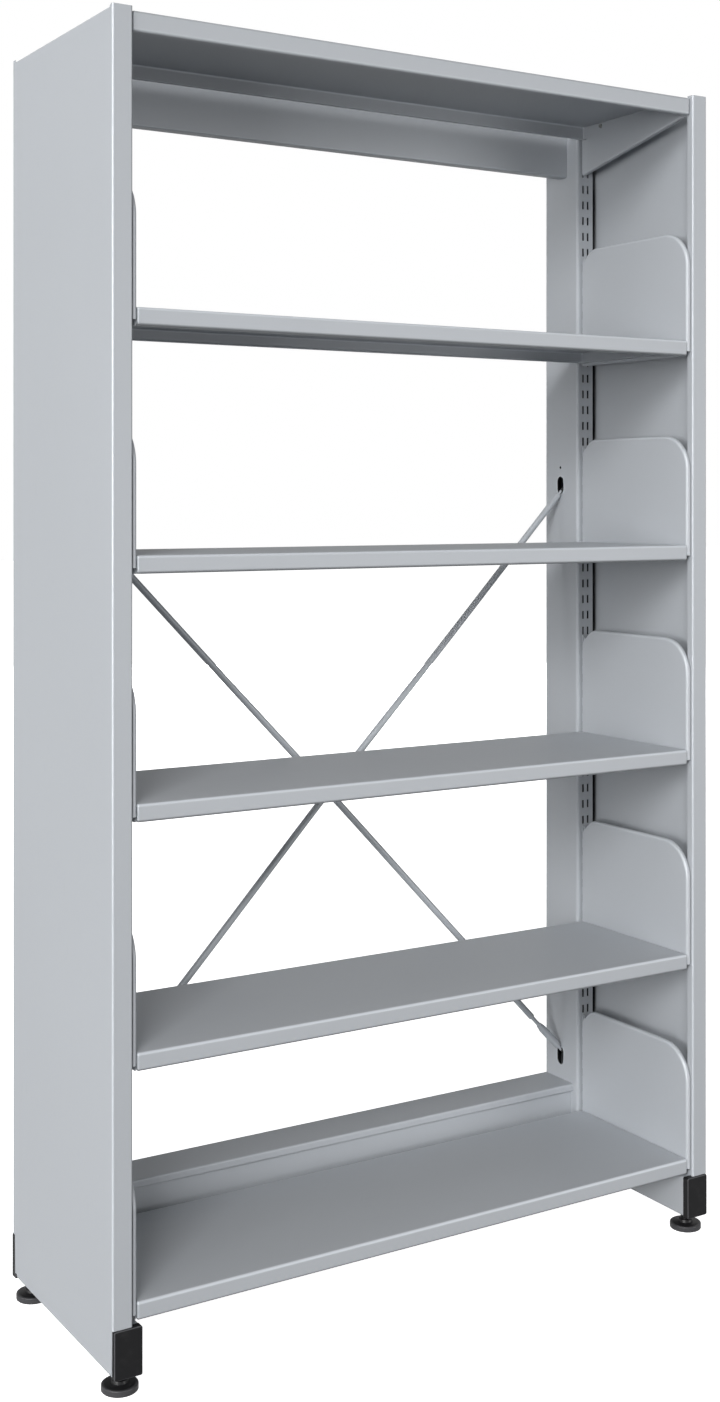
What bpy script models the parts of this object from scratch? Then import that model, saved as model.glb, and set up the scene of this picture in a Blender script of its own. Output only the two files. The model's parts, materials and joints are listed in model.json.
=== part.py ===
"""Single-sided steel library rack: two clad end frames, five hooked shelves and a canopy.

Metres, +Z up. The origin is on the floor under the middle of the rack, and the front faces -Y.
"""
import math

import bmesh
import bpy
from mathutils import Matrix, Vector

MM = 0.001

# Clearances
GAP = 0.3 * MM
LAP = 0.1 * MM
WELD = 0.002 * MM
BORE_PLAY = 0.4 * MM

# End panels
BAY_WIDTH = 1000 * MM
FACE_WIDTH = 30 * MM
FACE_RETURN = 13 * MM
PANEL_DEPTH = 374 * MM
PANEL_SHEET = 1.2 * MM
PANEL_BEND = 2 * MM
PANEL_LIFT = 9 * MM
CORNER_RISE = 4 * MM
CORNER_LENGTH = 10 * MM

# Levelling feet and their threaded inserts
PAD_DIAMETER = 51 * MM
PAD_HEIGHT = 9 * MM
PAD_EDGE = 1.5 * MM
PAD_CROWN = 1.5 * MM
BOSS_DIAMETER = 24 * MM
BOSS_HEIGHT = 5 * MM
COLLAR_DIAMETER = 16 * MM
COLLAR_HEIGHT = 11.2 * MM
STEM_DIAMETER = 10 * MM
STEM_LENGTH = 38 * MM
FOOT_SETBACK = 26.5 * MM
INSERT_DIAMETER = 18 * MM
INSERT_HEIGHT = 9 * MM

# Base legs and their end caps
LEG_WIDTH = 40 * MM
LEG_HEIGHT = 65.5 * MM
LEG_WALL = 2 * MM
LEG_CORNER = 3 * MM
LEG_INSET = 2.5 * MM
CAP_PROUD = 3 * MM
CAP_PLATE = 9 * MM
CAP_LAP = 0.8 * MM
CAP_ROUND = 2.5 * MM
CAP_PLUG = 10 * MM

# Shelves
SHELF_COUNT = 5
BASE_TOP = 122 * MM
SHELF_RECESS = 3.5 * MM
SHELF_DEPTH = 274.5 * MM
SHELF_SHEET = 1 * MM
SHELF_BEND = 3 * MM
SHELF_LIP = 25 * MM
SHELF_HEM = 12 * MM
SHELF_REAR_LIP = 20 * MM
SHELF_REAR_HEM = 9 * MM
SHELF_END_FOLD = 18 * MM
SHELF_END_PLAY = 0.4 * MM

# Uprights and their slots
POST_OUT = 12.5 * MM
POST_WIDTH = 34.5 * MM
POST_SHEET = 2 * MM
POST_BEND = 2 * MM
POST_DROP = 6 * MM
POST_PLAY = 2.5 * MM
SLOT_PITCH = 28 * MM
SLOT_HEIGHT = 14 * MM
SLOT_WIDTH = 4 * MM
SLOT_EDGE = 13 * MM
SLOT_SPACING = 10.5 * MM
ROWS_PER_SHELF = 12
CANOPY_ROWS = 13

# Shelf end supports and hooks
SUPPORT_SHEET = 1.5 * MM
SUPPORT_BEND = 5 * MM
SUPPORT_FLANGE = 7.8 * MM
SUPPORT_RISE = 181 * MM
SUPPORT_SETBACK = 0.5 * MM
SUPPORT_FRONT_ROUND = 58 * MM
SUPPORT_REAR_ROUND = 36 * MM
SUPPORT_FLANGE_DROP = 17 * MM
SUPPORT_FOOT = 25 * MM
SUPPORT_FLANGE_END = 35
SUPPORT_BACK = 3.5 * MM
PANEL_PLAY = 0.6 * MM
LEDGE_REACH = 16 * MM
LEDGE_SETBACK = 3 * MM
TAB_DROP = 13 * MM
HOOK_RISE = 10 * MM
HOOK_ROWS = (0, 2, 4)
HOOK_NECK = 5 * MM
HOOK_DROP = 7 * MM
HOOK_NOSE = 3 * MM
HOOK_STANDOFF = 0.4 * MM
STRIP_FOOT = 18 * MM

# Canopy, its brackets and screws
CANOPY_RISE = 26 * MM
CANOPY_SHEET = 1.2 * MM
CANOPY_RECESS = 5 * MM
CANOPY_LIP = 28 * MM
CANOPY_HEM = 10 * MM
CANOPY_REAR_LIP = 25 * MM
CANOPY_END_FOLD = 12 * MM
BRACKET_TAIL = 86 * MM
BRACKET_NOSE = 31 * MM
BRACKET_BEND = 3 * MM
BRACKET_SETBACK = 2 * MM
BRACKET_HOOK_ROWS = (0, -1)
CANOPY_SCREW_SETBACK = 226 * MM
CANOPY_SCREW_DROP = 7.5 * MM

# Rear rails
RAIL_SHEET = 1.5 * MM
RAIL_BEND = 1.5 * MM
TOP_RAIL_SET = 29.5 * MM
TOP_RAIL_HEIGHT = 74 * MM
TOP_RAIL_FLANGE = 20 * MM
TOP_RAIL_DROP = 6 * MM
BASE_RAIL_SET = 11.5 * MM
BASE_RAIL_RISE = 43.5 * MM
BASE_RAIL_LIP = 13 * MM
BASE_RAIL_REACH = 7 * MM
BASE_RAIL_FALL = 20 * MM
BASE_RAIL_REAR = 46 * MM
RAIL_END_MARGIN = 3 * MM

# Cross braces
BRACE_OFFSET = 2.5 * MM
BRACE_LOW = 206.5 * MM
BRACE_RISE = 1024 * MM
BRACE_HOLE_WIDTH = 18 * MM
BRACE_HOLE_LENGTH = 32 * MM
DIMPLE_DIAMETER = 5 * MM
DIMPLE_RISE = 32 * MM
ROD_DIAMETER = 11 * MM
ROD_END_GAP = 3.6 * MM
STUD_DIAMETER = 7 * MM
STUD_LENGTH = 52 * MM
STUD_SHOW = 24 * MM
SLEEVE_DIAMETER = 13.4 * MM
SLEEVE_LENGTH = 62 * MM
SLEEVE_TAPER = 8 * MM
SLEEVE_WAIST = 10 * MM
PIN_DIAMETER = 5 * MM
PIN_REACH = 8 * MM
PIN_HOOK = 13 * MM
ROD_POINTS = 6
BOW_SPAN = 240 * MM

# Screws
SMALL_SHANK = 3.6 * MM
SMALL_HEAD = 7.4 * MM
SMALL_HEAD_HEIGHT = 2.4 * MM
SMALL_LENGTH = 8 * MM
RAIL_SHANK = 6 * MM
RAIL_HEAD = 11 * MM
RAIL_HEAD_HEIGHT = 4 * MM
RAIL_LENGTH = 14 * MM
RAIL_SCREW_SPREAD = 40 * MM
PANEL_SCREW_HEIGHTS = (420 * MM, 1480 * MM)

# Roundness
BEND_STEPS = 2
ROUND_STEPS = 6
TURN_STEPS = 20
SCREW_STEPS = 10
BAR_STEPS = 2
SHADE_ANGLE = 32

# Finishes as linear colour, roughness and metallic value
COAT = ((0.50, 0.53, 0.56), 0.42, 0.25)
COAT_SHADE = ((0.46, 0.49, 0.52), 0.45, 0.25)
BLACK_PLASTIC = ((0.022, 0.022, 0.023), 0.48, 0.0)
ZINC = ((0.62, 0.62, 0.60), 0.32, 1.0)

# Places that follow from the sizes above
HALF_WIDTH = BAY_WIDTH / 2 + FACE_WIDTH
LEG_BOTTOM = PAD_HEIGHT + PAD_CROWN + BOSS_HEIGHT + COLLAR_HEIGHT + GAP
LEG_TOP = LEG_BOTTOM + LEG_HEIGHT
LEG_CENTRE = HALF_WIDTH - LEG_INSET - LEG_WIDTH / 2
PANEL_BOTTOM = LEG_BOTTOM + PANEL_LIFT
SHELF_PITCH = ROWS_PER_SHELF * SLOT_PITCH
CANOPY_ROW = (SHELF_COUNT - 1) * ROWS_PER_SHELF + CANOPY_ROWS
ROW_ZERO = BASE_TOP + HOOK_RISE
CANOPY_TOP = ROW_ZERO + CANOPY_ROW * SLOT_PITCH + CANOPY_RISE
PANEL_TOP = CANOPY_TOP
POST_TOP = CANOPY_TOP - POST_DROP
FRONT = -PANEL_DEPTH / 2
BACK = PANEL_DEPTH / 2
SHELF_FRONT = FRONT + SHELF_RECESS
SHELF_BACK = SHELF_FRONT + SHELF_DEPTH
POST_FRONT = SHELF_BACK + POST_PLAY
POST_BACK = BACK - PANEL_SHEET - GAP
POST_FACE = HALF_WIDTH - POST_OUT - POST_WIDTH
SLOT_X = POST_FACE + SLOT_EDGE
SUPPORT_FACE = HALF_WIDTH - FACE_WIDTH - PANEL_PLAY - SUPPORT_FLANGE
SUPPORT_FRONT = SHELF_FRONT + SUPPORT_SETBACK
SUPPORT_REAR = POST_FRONT - SUPPORT_BACK
LEDGE_TOP = -SHELF_END_FOLD - GAP
BRACE_Y = (POST_FRONT + POST_BACK) / 2 + BRACE_OFFSET
BRACE_HIGH = BRACE_LOW + BRACE_RISE
TOP_RAIL_TOP = POST_TOP
TOP_RAIL_FRONT = POST_FRONT + TOP_RAIL_SET
BASE_RAIL_TOP = BASE_TOP + BASE_RAIL_RISE
BASE_RAIL_FRONT = POST_FRONT + BASE_RAIL_SET
RAIL_HALF = POST_FACE - GAP
PANEL_SCREW_X = HALF_WIDTH - (POST_OUT + FACE_WIDTH) / 2

# Outline axes: the two directions drawn, then the direction of the depth
PLANES = {
    "XY": Matrix.Identity(4),
    "YZ": Matrix(((0, 0, 1, 0), (1, 0, 0, 0), (0, 1, 0, 0), (0, 0, 0, 1))),
    "ZX": Matrix(((0, 1, 0, 0), (0, 0, 1, 0), (1, 0, 0, 0), (0, 0, 0, 1))),
}


def clear_scene():
    """Removes every object that the scene starts with."""
    for item in list(bpy.data.objects):
        bpy.data.objects.remove(item)


def new_collection(name):
    """Adds a collection to the scene."""
    collection = bpy.data.collections.new(name)
    bpy.context.scene.collection.children.link(collection)
    return collection


def finish(name, look):
    """A Principled material from a colour, roughness and metallic value."""
    colour, roughness, metallic = look
    material = bpy.data.materials.new(name)
    material.use_nodes = True
    shader = material.node_tree.nodes["Principled BSDF"]
    shader.inputs["Base Color"].default_value = (*colour, 1)
    shader.inputs["Roughness"].default_value = roughness
    shader.inputs["Metallic"].default_value = metallic
    return material


def weld(mesh):
    """Joins coincident points and turns all faces outwards."""
    work = bmesh.new()
    work.from_mesh(mesh)
    bmesh.ops.remove_doubles(work, verts=work.verts, dist=WELD)
    bmesh.ops.recalc_face_normals(work, faces=work.faces)
    work.to_mesh(mesh)
    work.free()
    return mesh


def evaluated_mesh(data, modifiers=()):
    """The mesh of some data after the given modifiers, each a type and its settings."""
    holder = bpy.data.objects.new("holder", data)
    bpy.context.scene.collection.objects.link(holder)
    for kind, settings in modifiers:
        modifier = holder.modifiers.new(kind.title(), kind)
        for key, value in settings.items():
            setattr(modifier, key, value)
    depsgraph = bpy.context.evaluated_depsgraph_get()
    mesh = bpy.data.meshes.new_from_object(holder.evaluated_get(depsgraph))
    bpy.data.objects.remove(holder)
    return weld(mesh)


def boolean(mesh, tool, operation):
    """One mesh cut by another or joined to it."""
    other = bpy.data.objects.new("tool", tool)
    other.hide_render = True
    other.display_type = "WIRE"
    CUTTERS.objects.link(other)
    settings = {"operation": operation, "solver": "EXACT", "object": other}
    result = evaluated_mesh(mesh, [("BOOLEAN", settings)])
    bpy.data.objects.remove(other)
    return result


def cut(mesh, *tools):
    """The mesh without the space of the tools."""
    for tool in tools:
        mesh = boolean(mesh, tool, "DIFFERENCE")
    return mesh


def fuse(mesh, *pieces):
    """The mesh joined to pieces that reach into it."""
    for piece in pieces:
        mesh = boolean(mesh, piece, "UNION")
    return mesh


def box(low, high):
    """A box between two corners."""
    low = Vector(low)
    high = Vector(high)
    work = bmesh.new()
    bmesh.ops.create_cube(work, size=1)
    bmesh.ops.scale(work, vec=high - low, verts=work.verts)
    bmesh.ops.translate(work, vec=(low + high) / 2, verts=work.verts)
    mesh = bpy.data.meshes.new("box")
    work.to_mesh(mesh)
    work.free()
    return mesh


def merged(meshes):
    """Separate meshes as one mesh of separate bodies."""
    work = bmesh.new()
    for mesh in meshes:
        work.from_mesh(mesh)
    result = bpy.data.meshes.new("merged")
    work.to_mesh(result)
    work.free()
    return result


def drill(centre, diameter, depth, axis, steps=SCREW_STEPS):
    """A cylinder along X, Y or Z for a round hole."""
    turns = {"X": Matrix.Rotation(math.pi / 2, 4, "Y"), "Y": Matrix.Rotation(math.pi / 2, 4, "X"),
             "Z": Matrix.Identity(4)}
    work = bmesh.new()
    radius = diameter / 2 / math.cos(math.pi / steps)
    bmesh.ops.create_cone(work, cap_ends=True, segments=steps, radius1=radius, radius2=radius, depth=depth)
    mesh = bpy.data.meshes.new("drill")
    work.to_mesh(mesh)
    work.free()
    mesh.transform(Matrix.Translation(centre) @ turns[axis])
    return mesh


def prism(loops, start, end, plane):
    """Flat outlines, holes included, with a depth from start to end across their plane."""
    curve = bpy.data.curves.new("outline", "CURVE")
    curve.dimensions = "2D"
    curve.fill_mode = "BOTH"
    curve.extrude = (end - start) / 2
    for loop in loops:
        spline = curve.splines.new("POLY")
        spline.points.add(len(loop) - 1)
        for point, (u, v) in zip(spline.points, loop):
            point.co = (u, v, 0, 1)
        spline.use_cyclic_u = True
    mesh = evaluated_mesh(curve)
    mesh.transform(PLANES[plane] @ Matrix.Translation((0, 0, (start + end) / 2)))
    return mesh


def arc(centre, radius, start, end, steps):
    """Points along an arc, both ends included, with angles in degrees."""
    points = []
    for step in range(steps + 1):
        angle = math.radians(start + (end - start) * step / steps)
        points.append((centre[0] + radius * math.cos(angle), centre[1] + radius * math.sin(angle)))
    return points


def rounded_rectangle(low, high, radius):
    """A rectangle with round corners."""
    points = []
    corners = ((high[0], high[1], 0), (low[0], high[1], 90), (low[0], low[1], 180), (high[0], low[1], 270))
    for u, v, start in corners:
        centre = (u - math.copysign(radius, u - low[0] - LAP), v - math.copysign(radius, v - low[1] - LAP))
        points += arc(centre, radius, start, start + 90, BEND_STEPS)
    return points


def bent_sheet(path, thickness, inside):
    """The outline of a sheet of one thickness bent along a path through its middle."""
    middle = inside + thickness / 2
    points = [Vector(point) for point in path]
    stations = []
    for index, point in enumerate(points):
        before = (point - points[index - 1]).normalized() if index else None
        after = (points[index + 1] - point).normalized() if index + 1 < len(points) else None
        if before is None or after is None:
            along = after if before is None else before
            stations.append((point, Vector((-along.y, along.x))))
            continue
        turn = before.angle_signed(after)
        side = Vector((-before.y, before.x)) * (-1 if turn > 0 else 1)
        centre = point - before * middle * math.tan(abs(turn) / 2) + side * middle
        for step in range(BEND_STEPS + 1):
            spoke = Matrix.Rotation(-turn * step / BEND_STEPS, 2) @ -side
            normal = spoke if turn > 0 else -spoke
            stations.append((centre + spoke * middle, normal))
    left = [place + normal * thickness / 2 for place, normal in stations]
    right = [place - normal * thickness / 2 for place, normal in stations]
    return [tuple(point) for point in left + right[::-1]]


def turned(profile, steps):
    """A profile of radius and height turned about Z, from the axis to the axis, top first."""
    mesh = bpy.data.meshes.new("profile")
    points = [(radius, 0, height) for radius, height in profile]
    mesh.from_pydata(points, [(index, index + 1) for index in range(len(points) - 1)], [])
    settings = {"axis": "Z", "steps": steps, "render_steps": steps, "use_merge_vertices": True,
                "merge_threshold": WELD, "use_smooth_shade": False}
    return evaluated_mesh(mesh, [("SCREW", settings)])


def tube(points, diameter, shares=None):
    """A round bar along points, each with a share of the full diameter."""
    curve = bpy.data.curves.new("bar", "CURVE")
    curve.dimensions = "3D"
    curve.bevel_depth = diameter / 2
    curve.bevel_resolution = BAR_STEPS
    curve.use_fill_caps = True
    spline = curve.splines.new("POLY")
    spline.points.add(len(points) - 1)
    for index, (point, place) in enumerate(zip(spline.points, points)):
        point.co = (*place, 1)
        point.radius = shares[index] if shares else 1
    return evaluated_mesh(curve)


def mirrored(mesh):
    """The left-hand twin of a right-hand mesh."""
    twin = mesh.copy()
    twin.transform(Matrix.Scale(-1, 4, (1, 0, 0)))
    twin.flip_normals()
    return twin


def place(name, mesh, material, origin=(0, 0, 0), parent=None):
    """Adds a named piece whose mesh is drawn from its own origin."""
    piece = bpy.data.objects.new(name, mesh)
    piece.location = origin
    piece.parent = parent
    RACK.objects.link(piece)
    if not mesh.materials:
        mesh.materials.append(material)
        mesh.shade_smooth()
        mesh.set_sharp_from_angle(angle=math.radians(SHADE_ANGLE))
    return piece


def moved_to(mesh, origin):
    """The mesh redrawn from a new origin."""
    mesh.transform(Matrix.Translation(-Vector(origin)))
    return mesh


def place_pair(name, mesh, material, origin):
    """Adds a right-hand piece, drawn in place, and its left-hand twin."""
    left = mirrored(mesh)
    opposite = (-origin[0], origin[1], origin[2])
    place(name + "_right", moved_to(mesh, origin), material, origin)
    place(name + "_left", moved_to(left, opposite), material, opposite)


def anchor(name, origin):
    """An empty that carries the pieces of one unit."""
    empty = bpy.data.objects.new(name, None)
    empty.location = origin
    empty.empty_display_size = SLOT_PITCH
    RACK.objects.link(empty)
    return empty


def screw_mesh(shank, head, head_height, length):
    """A pan-head screw that points down, with the underside of its head at zero."""
    chamfer = head_height / 3
    profile = [(0, head_height), (head / 2 - chamfer, head_height), (head / 2, head_height - chamfer),
               (head / 2, 0), (shank / 2, 0), (shank / 2, -length), (0, -length)]
    return turned(profile, SCREW_STEPS)


def end_panels():
    """Sheet covers on the outside of the end frames, folded round the front and the rear."""
    half = PANEL_SHEET / 2
    outside = HALF_WIDTH - half
    inner = HALF_WIDTH - FACE_WIDTH
    path = [(inner + half, FRONT + FACE_RETURN), (inner + half, FRONT + half), (outside, FRONT + half),
            (outside, BACK - half), (inner, BACK - half)]
    low = PANEL_BOTTOM - CORNER_RISE
    high = PANEL_TOP + CORNER_RISE
    mesh = prism([bent_sheet(path, PANEL_SHEET, PANEL_BEND)], low, high, "XY")
    middle = (inner - CORNER_RISE, FRONT + CORNER_LENGTH), (HALF_WIDTH + CORNER_RISE, BACK - CORNER_LENGTH)
    top_trim = box((*middle[0], PANEL_TOP), (*middle[1], high + CORNER_RISE))
    foot_trim = box((*middle[0], low - CORNER_RISE), (*middle[1], PANEL_BOTTOM))
    cap_side = HALF_WIDTH - LEG_INSET + CAP_LAP + GAP
    cap_top = LEG_TOP + GAP
    window = CAP_PLATE - CAP_PROUD + GAP
    front_window = box((inner - FACE_WIDTH, FRONT - window, low - CORNER_RISE),
                       (cap_side, FRONT + FACE_RETURN + GAP, cap_top))
    rear_window = box((inner - FACE_WIDTH, BACK - window, low - CORNER_RISE),
                      (HALF_WIDTH + FACE_WIDTH, BACK + window, cap_top))
    screws = [drill((PANEL_SCREW_X, BACK, height), SMALL_SHANK + 2 * BORE_PLAY, FACE_WIDTH, "Y")
              for height in PANEL_SCREW_HEIGHTS]
    mesh = cut(mesh, top_trim, foot_trim, front_window, rear_window, merged(screws))
    place_pair("end_panel", mesh, finish("end_panel_coat", COAT), (HALF_WIDTH, 0, PANEL_BOTTOM))


def base_legs():
    """Box-section legs on the floor side of the end frames, open at both ends."""
    outer = HALF_WIDTH - LEG_INSET
    low = (LEG_BOTTOM, outer - LEG_WIDTH)
    high = (LEG_TOP, outer)
    bore_low = (low[0] + LEG_WALL, low[1] + LEG_WALL)
    bore_high = (high[0] - LEG_WALL, high[1] - LEG_WALL)
    section = [rounded_rectangle(low, high, LEG_CORNER), [bore_low, (bore_high[0], bore_low[1]),
                                                          bore_high, (bore_low[0], bore_high[1])]]
    reach = PANEL_DEPTH / 2 + CAP_PROUD - CAP_PLATE - GAP
    mesh = prism(section, -reach, reach, "ZX")
    holes = [drill((LEG_CENTRE, y, LEG_BOTTOM), STEM_DIAMETER + 2 * BORE_PLAY, LEG_WALL * 4, "Z", TURN_STEPS)
             for y in (FRONT + FOOT_SETBACK, BACK - FOOT_SETBACK)]
    mesh = cut(mesh, merged(holes))
    place_pair("base_leg", mesh, finish("base_leg_coat", COAT_SHADE), (LEG_CENTRE, 0, LEG_BOTTOM))


def cap_mesh(outer):
    """A front end cap, drawn in place: a rounded plate out to a side and a plug in the leg."""
    leg_outer = HALF_WIDTH - LEG_INSET
    leg_inner = leg_outer - LEG_WIDTH
    face = FRONT - CAP_PROUD
    plate = box((leg_inner - CAP_LAP, face, LEG_BOTTOM - CAP_LAP), (outer, face + CAP_PLATE, LEG_TOP))
    plate = evaluated_mesh(plate, [("BEVEL", {"width": CAP_ROUND, "segments": BEND_STEPS, "limit_method": "NONE"})])
    inset = LEG_WALL + GAP
    plug = box((leg_inner + inset, face + CAP_PLATE / 2, LEG_BOTTOM + inset),
               (leg_outer - inset, face + CAP_PLATE + CAP_PLUG, LEG_TOP - inset))
    return fuse(plate, plug)


def leg_caps():
    """Black end caps of the legs; the rear ones also cover the notched corners of the end panels."""
    material = finish("cap_plastic", BLACK_PLASTIC)
    front_cap = cap_mesh(HALF_WIDTH - LEG_INSET + CAP_LAP)
    place_pair("leg_cap_front", front_cap, material, (LEG_CENTRE, FRONT, LEG_BOTTOM))
    rear_cap = cap_mesh(HALF_WIDTH)
    rear_cap.transform(Matrix.Scale(-1, 4, (0, 1, 0)))
    rear_cap.flip_normals()
    place_pair("leg_cap_rear", rear_cap, material, (LEG_CENTRE, BACK, LEG_BOTTOM))


def levelling_feet():
    """Screw-in feet, each a broad pad on a threaded stem, and the inserts that they turn in."""
    crown = PAD_HEIGHT + PAD_CROWN
    boss = crown + BOSS_HEIGHT
    collar = boss + COLLAR_HEIGHT
    stem = STEM_DIAMETER / 2
    pad = PAD_DIAMETER / 2
    foot = turned([(0, collar + STEM_LENGTH), (stem, collar + STEM_LENGTH), (stem, collar),
                   (COLLAR_DIAMETER / 2, collar), (COLLAR_DIAMETER / 2, boss), (BOSS_DIAMETER / 2, crown + LAP),
                   (pad - PAD_EDGE, PAD_HEIGHT), (pad, PAD_HEIGHT - PAD_EDGE), (pad, 0), (0, 0)], TURN_STEPS)
    bore = stem + BORE_PLAY
    insert = turned([(0, INSERT_HEIGHT), (INSERT_DIAMETER / 2, INSERT_HEIGHT), (INSERT_DIAMETER / 2, 0), (0, 0)],
                    TURN_STEPS)
    insert = cut(insert, drill((0, 0, 0), 2 * bore, INSERT_HEIGHT * 4, "Z", TURN_STEPS))
    rubber = finish("foot_plastic", BLACK_PLASTIC)
    zinc = finish("insert_zinc", ZINC)
    for end, y in (("front", FRONT + FOOT_SETBACK), ("rear", BACK - FOOT_SETBACK)):
        for side, x in (("left", -LEG_CENTRE), ("right", LEG_CENTRE)):
            place(f"foot_{end}_{side}", foot, rubber, (x, y, 0))
            place(f"foot_insert_{end}_{side}", insert, zinc, (x, y, LEG_BOTTOM + LEG_WALL + GAP))


def slot_cutters():
    """Every slot of the two columns of an upright."""
    rows = range(CANOPY_ROW + 1)
    columns = (SLOT_X, SLOT_X + SLOT_SPACING)
    reach = POST_SHEET * 2
    boxes = []
    for row in rows:
        z = ROW_ZERO + row * SLOT_PITCH
        for x in columns:
            boxes.append(box((x - SLOT_WIDTH / 2, POST_FRONT - reach, z - SLOT_HEIGHT / 2),
                             (x + SLOT_WIDTH / 2, POST_FRONT + reach, z + SLOT_HEIGHT / 2)))
    return merged(boxes)


def brace_holes():
    """The two oblong holes of an upright and the small hole over the upper one."""
    radius = BRACE_HOLE_WIDTH / 2
    straight = BRACE_HOLE_LENGTH / 2 - radius
    reach = POST_SHEET * 2
    cutters = []
    for height in (BRACE_LOW, BRACE_HIGH):
        loop = arc((BRACE_Y, height + straight), radius, 0, 180, ROUND_STEPS)
        loop += arc((BRACE_Y, height - straight), radius, 180, 360, ROUND_STEPS)
        cutters.append(prism([loop], POST_FACE - reach, POST_FACE + reach, "YZ"))
    dimple = (POST_FACE, BRACE_Y, BRACE_HIGH + DIMPLE_RISE)
    cutters.append(drill(dimple, DIMPLE_DIAMETER, reach * 2, "X"))
    return merged(cutters)


def uprights():
    """Slotted channels that stand on the legs, open towards the end panels."""
    half = POST_SHEET / 2
    outside = HALF_WIDTH - POST_OUT
    web = POST_FACE + half
    path = [(outside, POST_FRONT + half), (web, POST_FRONT + half), (web, POST_BACK - half),
            (outside, POST_BACK - half)]
    mesh = prism([bent_sheet(path, POST_SHEET, POST_BEND)], LEG_TOP + GAP, POST_TOP, "XY")
    rail_holes = [drill((POST_FACE, y, z), RAIL_SHANK + 2 * BORE_PLAY, POST_SHEET * 4, "X")
                  for y, z in rail_screw_places()]
    panel_holes = [drill((PANEL_SCREW_X, POST_BACK, height), SMALL_SHANK + 2 * BORE_PLAY, POST_SHEET * 4, "Y")
                   for height in PANEL_SCREW_HEIGHTS]
    mesh = cut(mesh, slot_cutters(), brace_holes(), merged(rail_holes + panel_holes))
    place_pair("upright", mesh, finish("upright_coat", COAT_SHADE), (POST_FACE, POST_FRONT, LEG_TOP))


def hook_strip(rows, row_zero, low, high):
    """A strip behind a support with hooks that pass the slots and hang down inside the upright."""
    rear = POST_FRONT - HOOK_STANDOFF
    inside = POST_FRONT + POST_SHEET + HOOK_STANDOFF
    outline = [(SUPPORT_REAR - SUPPORT_SHEET, high), (SUPPORT_REAR - SUPPORT_SHEET, low), (rear, low)]
    for row in sorted(rows):
        seat = row_zero + row * SLOT_PITCH - SLOT_HEIGHT / 2 + GAP
        top = seat + HOOK_NECK
        outline += [(rear, seat), (inside, seat), (inside, seat - HOOK_DROP),
                    (inside + HOOK_NOSE, seat - HOOK_DROP), (inside + HOOK_NOSE, top), (rear, top)]
    outline.append((rear, high))
    half = SUPPORT_SHEET / 2
    strip = prism([outline], SLOT_X - half, SLOT_X + half, "YZ")
    jog = box((SUPPORT_FACE + LAP, SUPPORT_REAR - SUPPORT_SHEET + LAP, low + LAP),
              (SLOT_X + half - LAP, SUPPORT_REAR + LAP, high - LAP))
    return fuse(strip, jog)


def flanged_plate(plate, path, inward):
    """A plate on the support plane with a flange turned outwards along part of its edge.

    plate holds the rest of the edge, path the flanged part as points with unit vectors that point
    off the plate, and inward tells how far those points lie inside the outer edge.
    """
    rings = []
    for step in range(BEND_STEPS + 1):
        angle = math.radians(90 * step / BEND_STEPS)
        rings.append((inward * math.sin(angle), inward * (1 - math.cos(angle))))
    rings.append((inward, SUPPORT_FLANGE))
    work = bmesh.new()
    rows = []
    for reach, out in rings:
        row = [work.verts.new((SUPPORT_FACE + out, y + dy * reach, z + dz * reach)) for (y, z), (dy, dz) in path]
        rows.append(row)
    rest = [work.verts.new((SUPPORT_FACE, y, z)) for y, z in plate]
    work.faces.new(rows[0] + rest)
    for near, far in zip(rows, rows[1:]):
        for index in range(len(near) - 1):
            work.faces.new((near[index + 1], near[index], far[index], far[index + 1]))
    bmesh.ops.recalc_face_normals(work, faces=work.faces)
    work.faces.ensure_lookup_table()
    if work.faces[0].normal.x > 0:
        bmesh.ops.reverse_faces(work, faces=work.faces)
    mesh = bpy.data.meshes.new("plate")
    work.to_mesh(mesh)
    work.free()
    settings = {"thickness": SUPPORT_SHEET, "offset": -1, "use_even_offset": True, "use_rim": True}
    return evaluated_mesh(mesh, [("SOLIDIFY", settings)])


def support_mesh():
    """A right-hand shelf support, drawn from the height of its shelf top."""
    inward = SUPPORT_BEND
    front = SUPPORT_FRONT + inward
    top = SUPPORT_RISE - inward
    round_front = SUPPORT_FRONT_ROUND - inward
    round_rear = SUPPORT_REAR_ROUND - inward
    path = [((front, -SUPPORT_FLANGE_DROP), (-1, 0))]
    front_centre = (front + round_front, top - round_front)
    rear_centre = (SUPPORT_REAR - SUPPORT_REAR_ROUND, SUPPORT_RISE - SUPPORT_REAR_ROUND)
    directions = arc((0, 0), 1, 180, 90, ROUND_STEPS)
    for point, out in zip(arc(front_centre, round_front, 180, 90, ROUND_STEPS), directions):
        path.append((point, out))
    directions = arc((0, 0), 1, 90, SUPPORT_FLANGE_END, BEND_STEPS)
    for point, out in zip(arc(rear_centre, round_rear, 90, SUPPORT_FLANGE_END, BEND_STEPS), directions):
        path.append((point, out))
    plate = arc(rear_centre, SUPPORT_REAR_ROUND, SUPPORT_FLANGE_END, 0, BEND_STEPS)
    plate += [(SUPPORT_REAR, -SUPPORT_FOOT), (front, -SUPPORT_FOOT)]
    mesh = flanged_plate(plate, path, inward)
    ledge = box((SUPPORT_FACE - LEDGE_REACH, SHELF_FRONT + SHELF_HEM + LEDGE_SETBACK, LEDGE_TOP - SUPPORT_SHEET),
                (SUPPORT_FACE + SUPPORT_SHEET - LAP, SHELF_BACK - SHELF_REAR_HEM - LEDGE_SETBACK, LEDGE_TOP))
    strip = hook_strip(HOOK_ROWS, HOOK_RISE, HOOK_RISE - STRIP_FOOT, SUPPORT_RISE - TAB_DROP)
    return fuse(mesh, ledge, strip)


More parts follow.
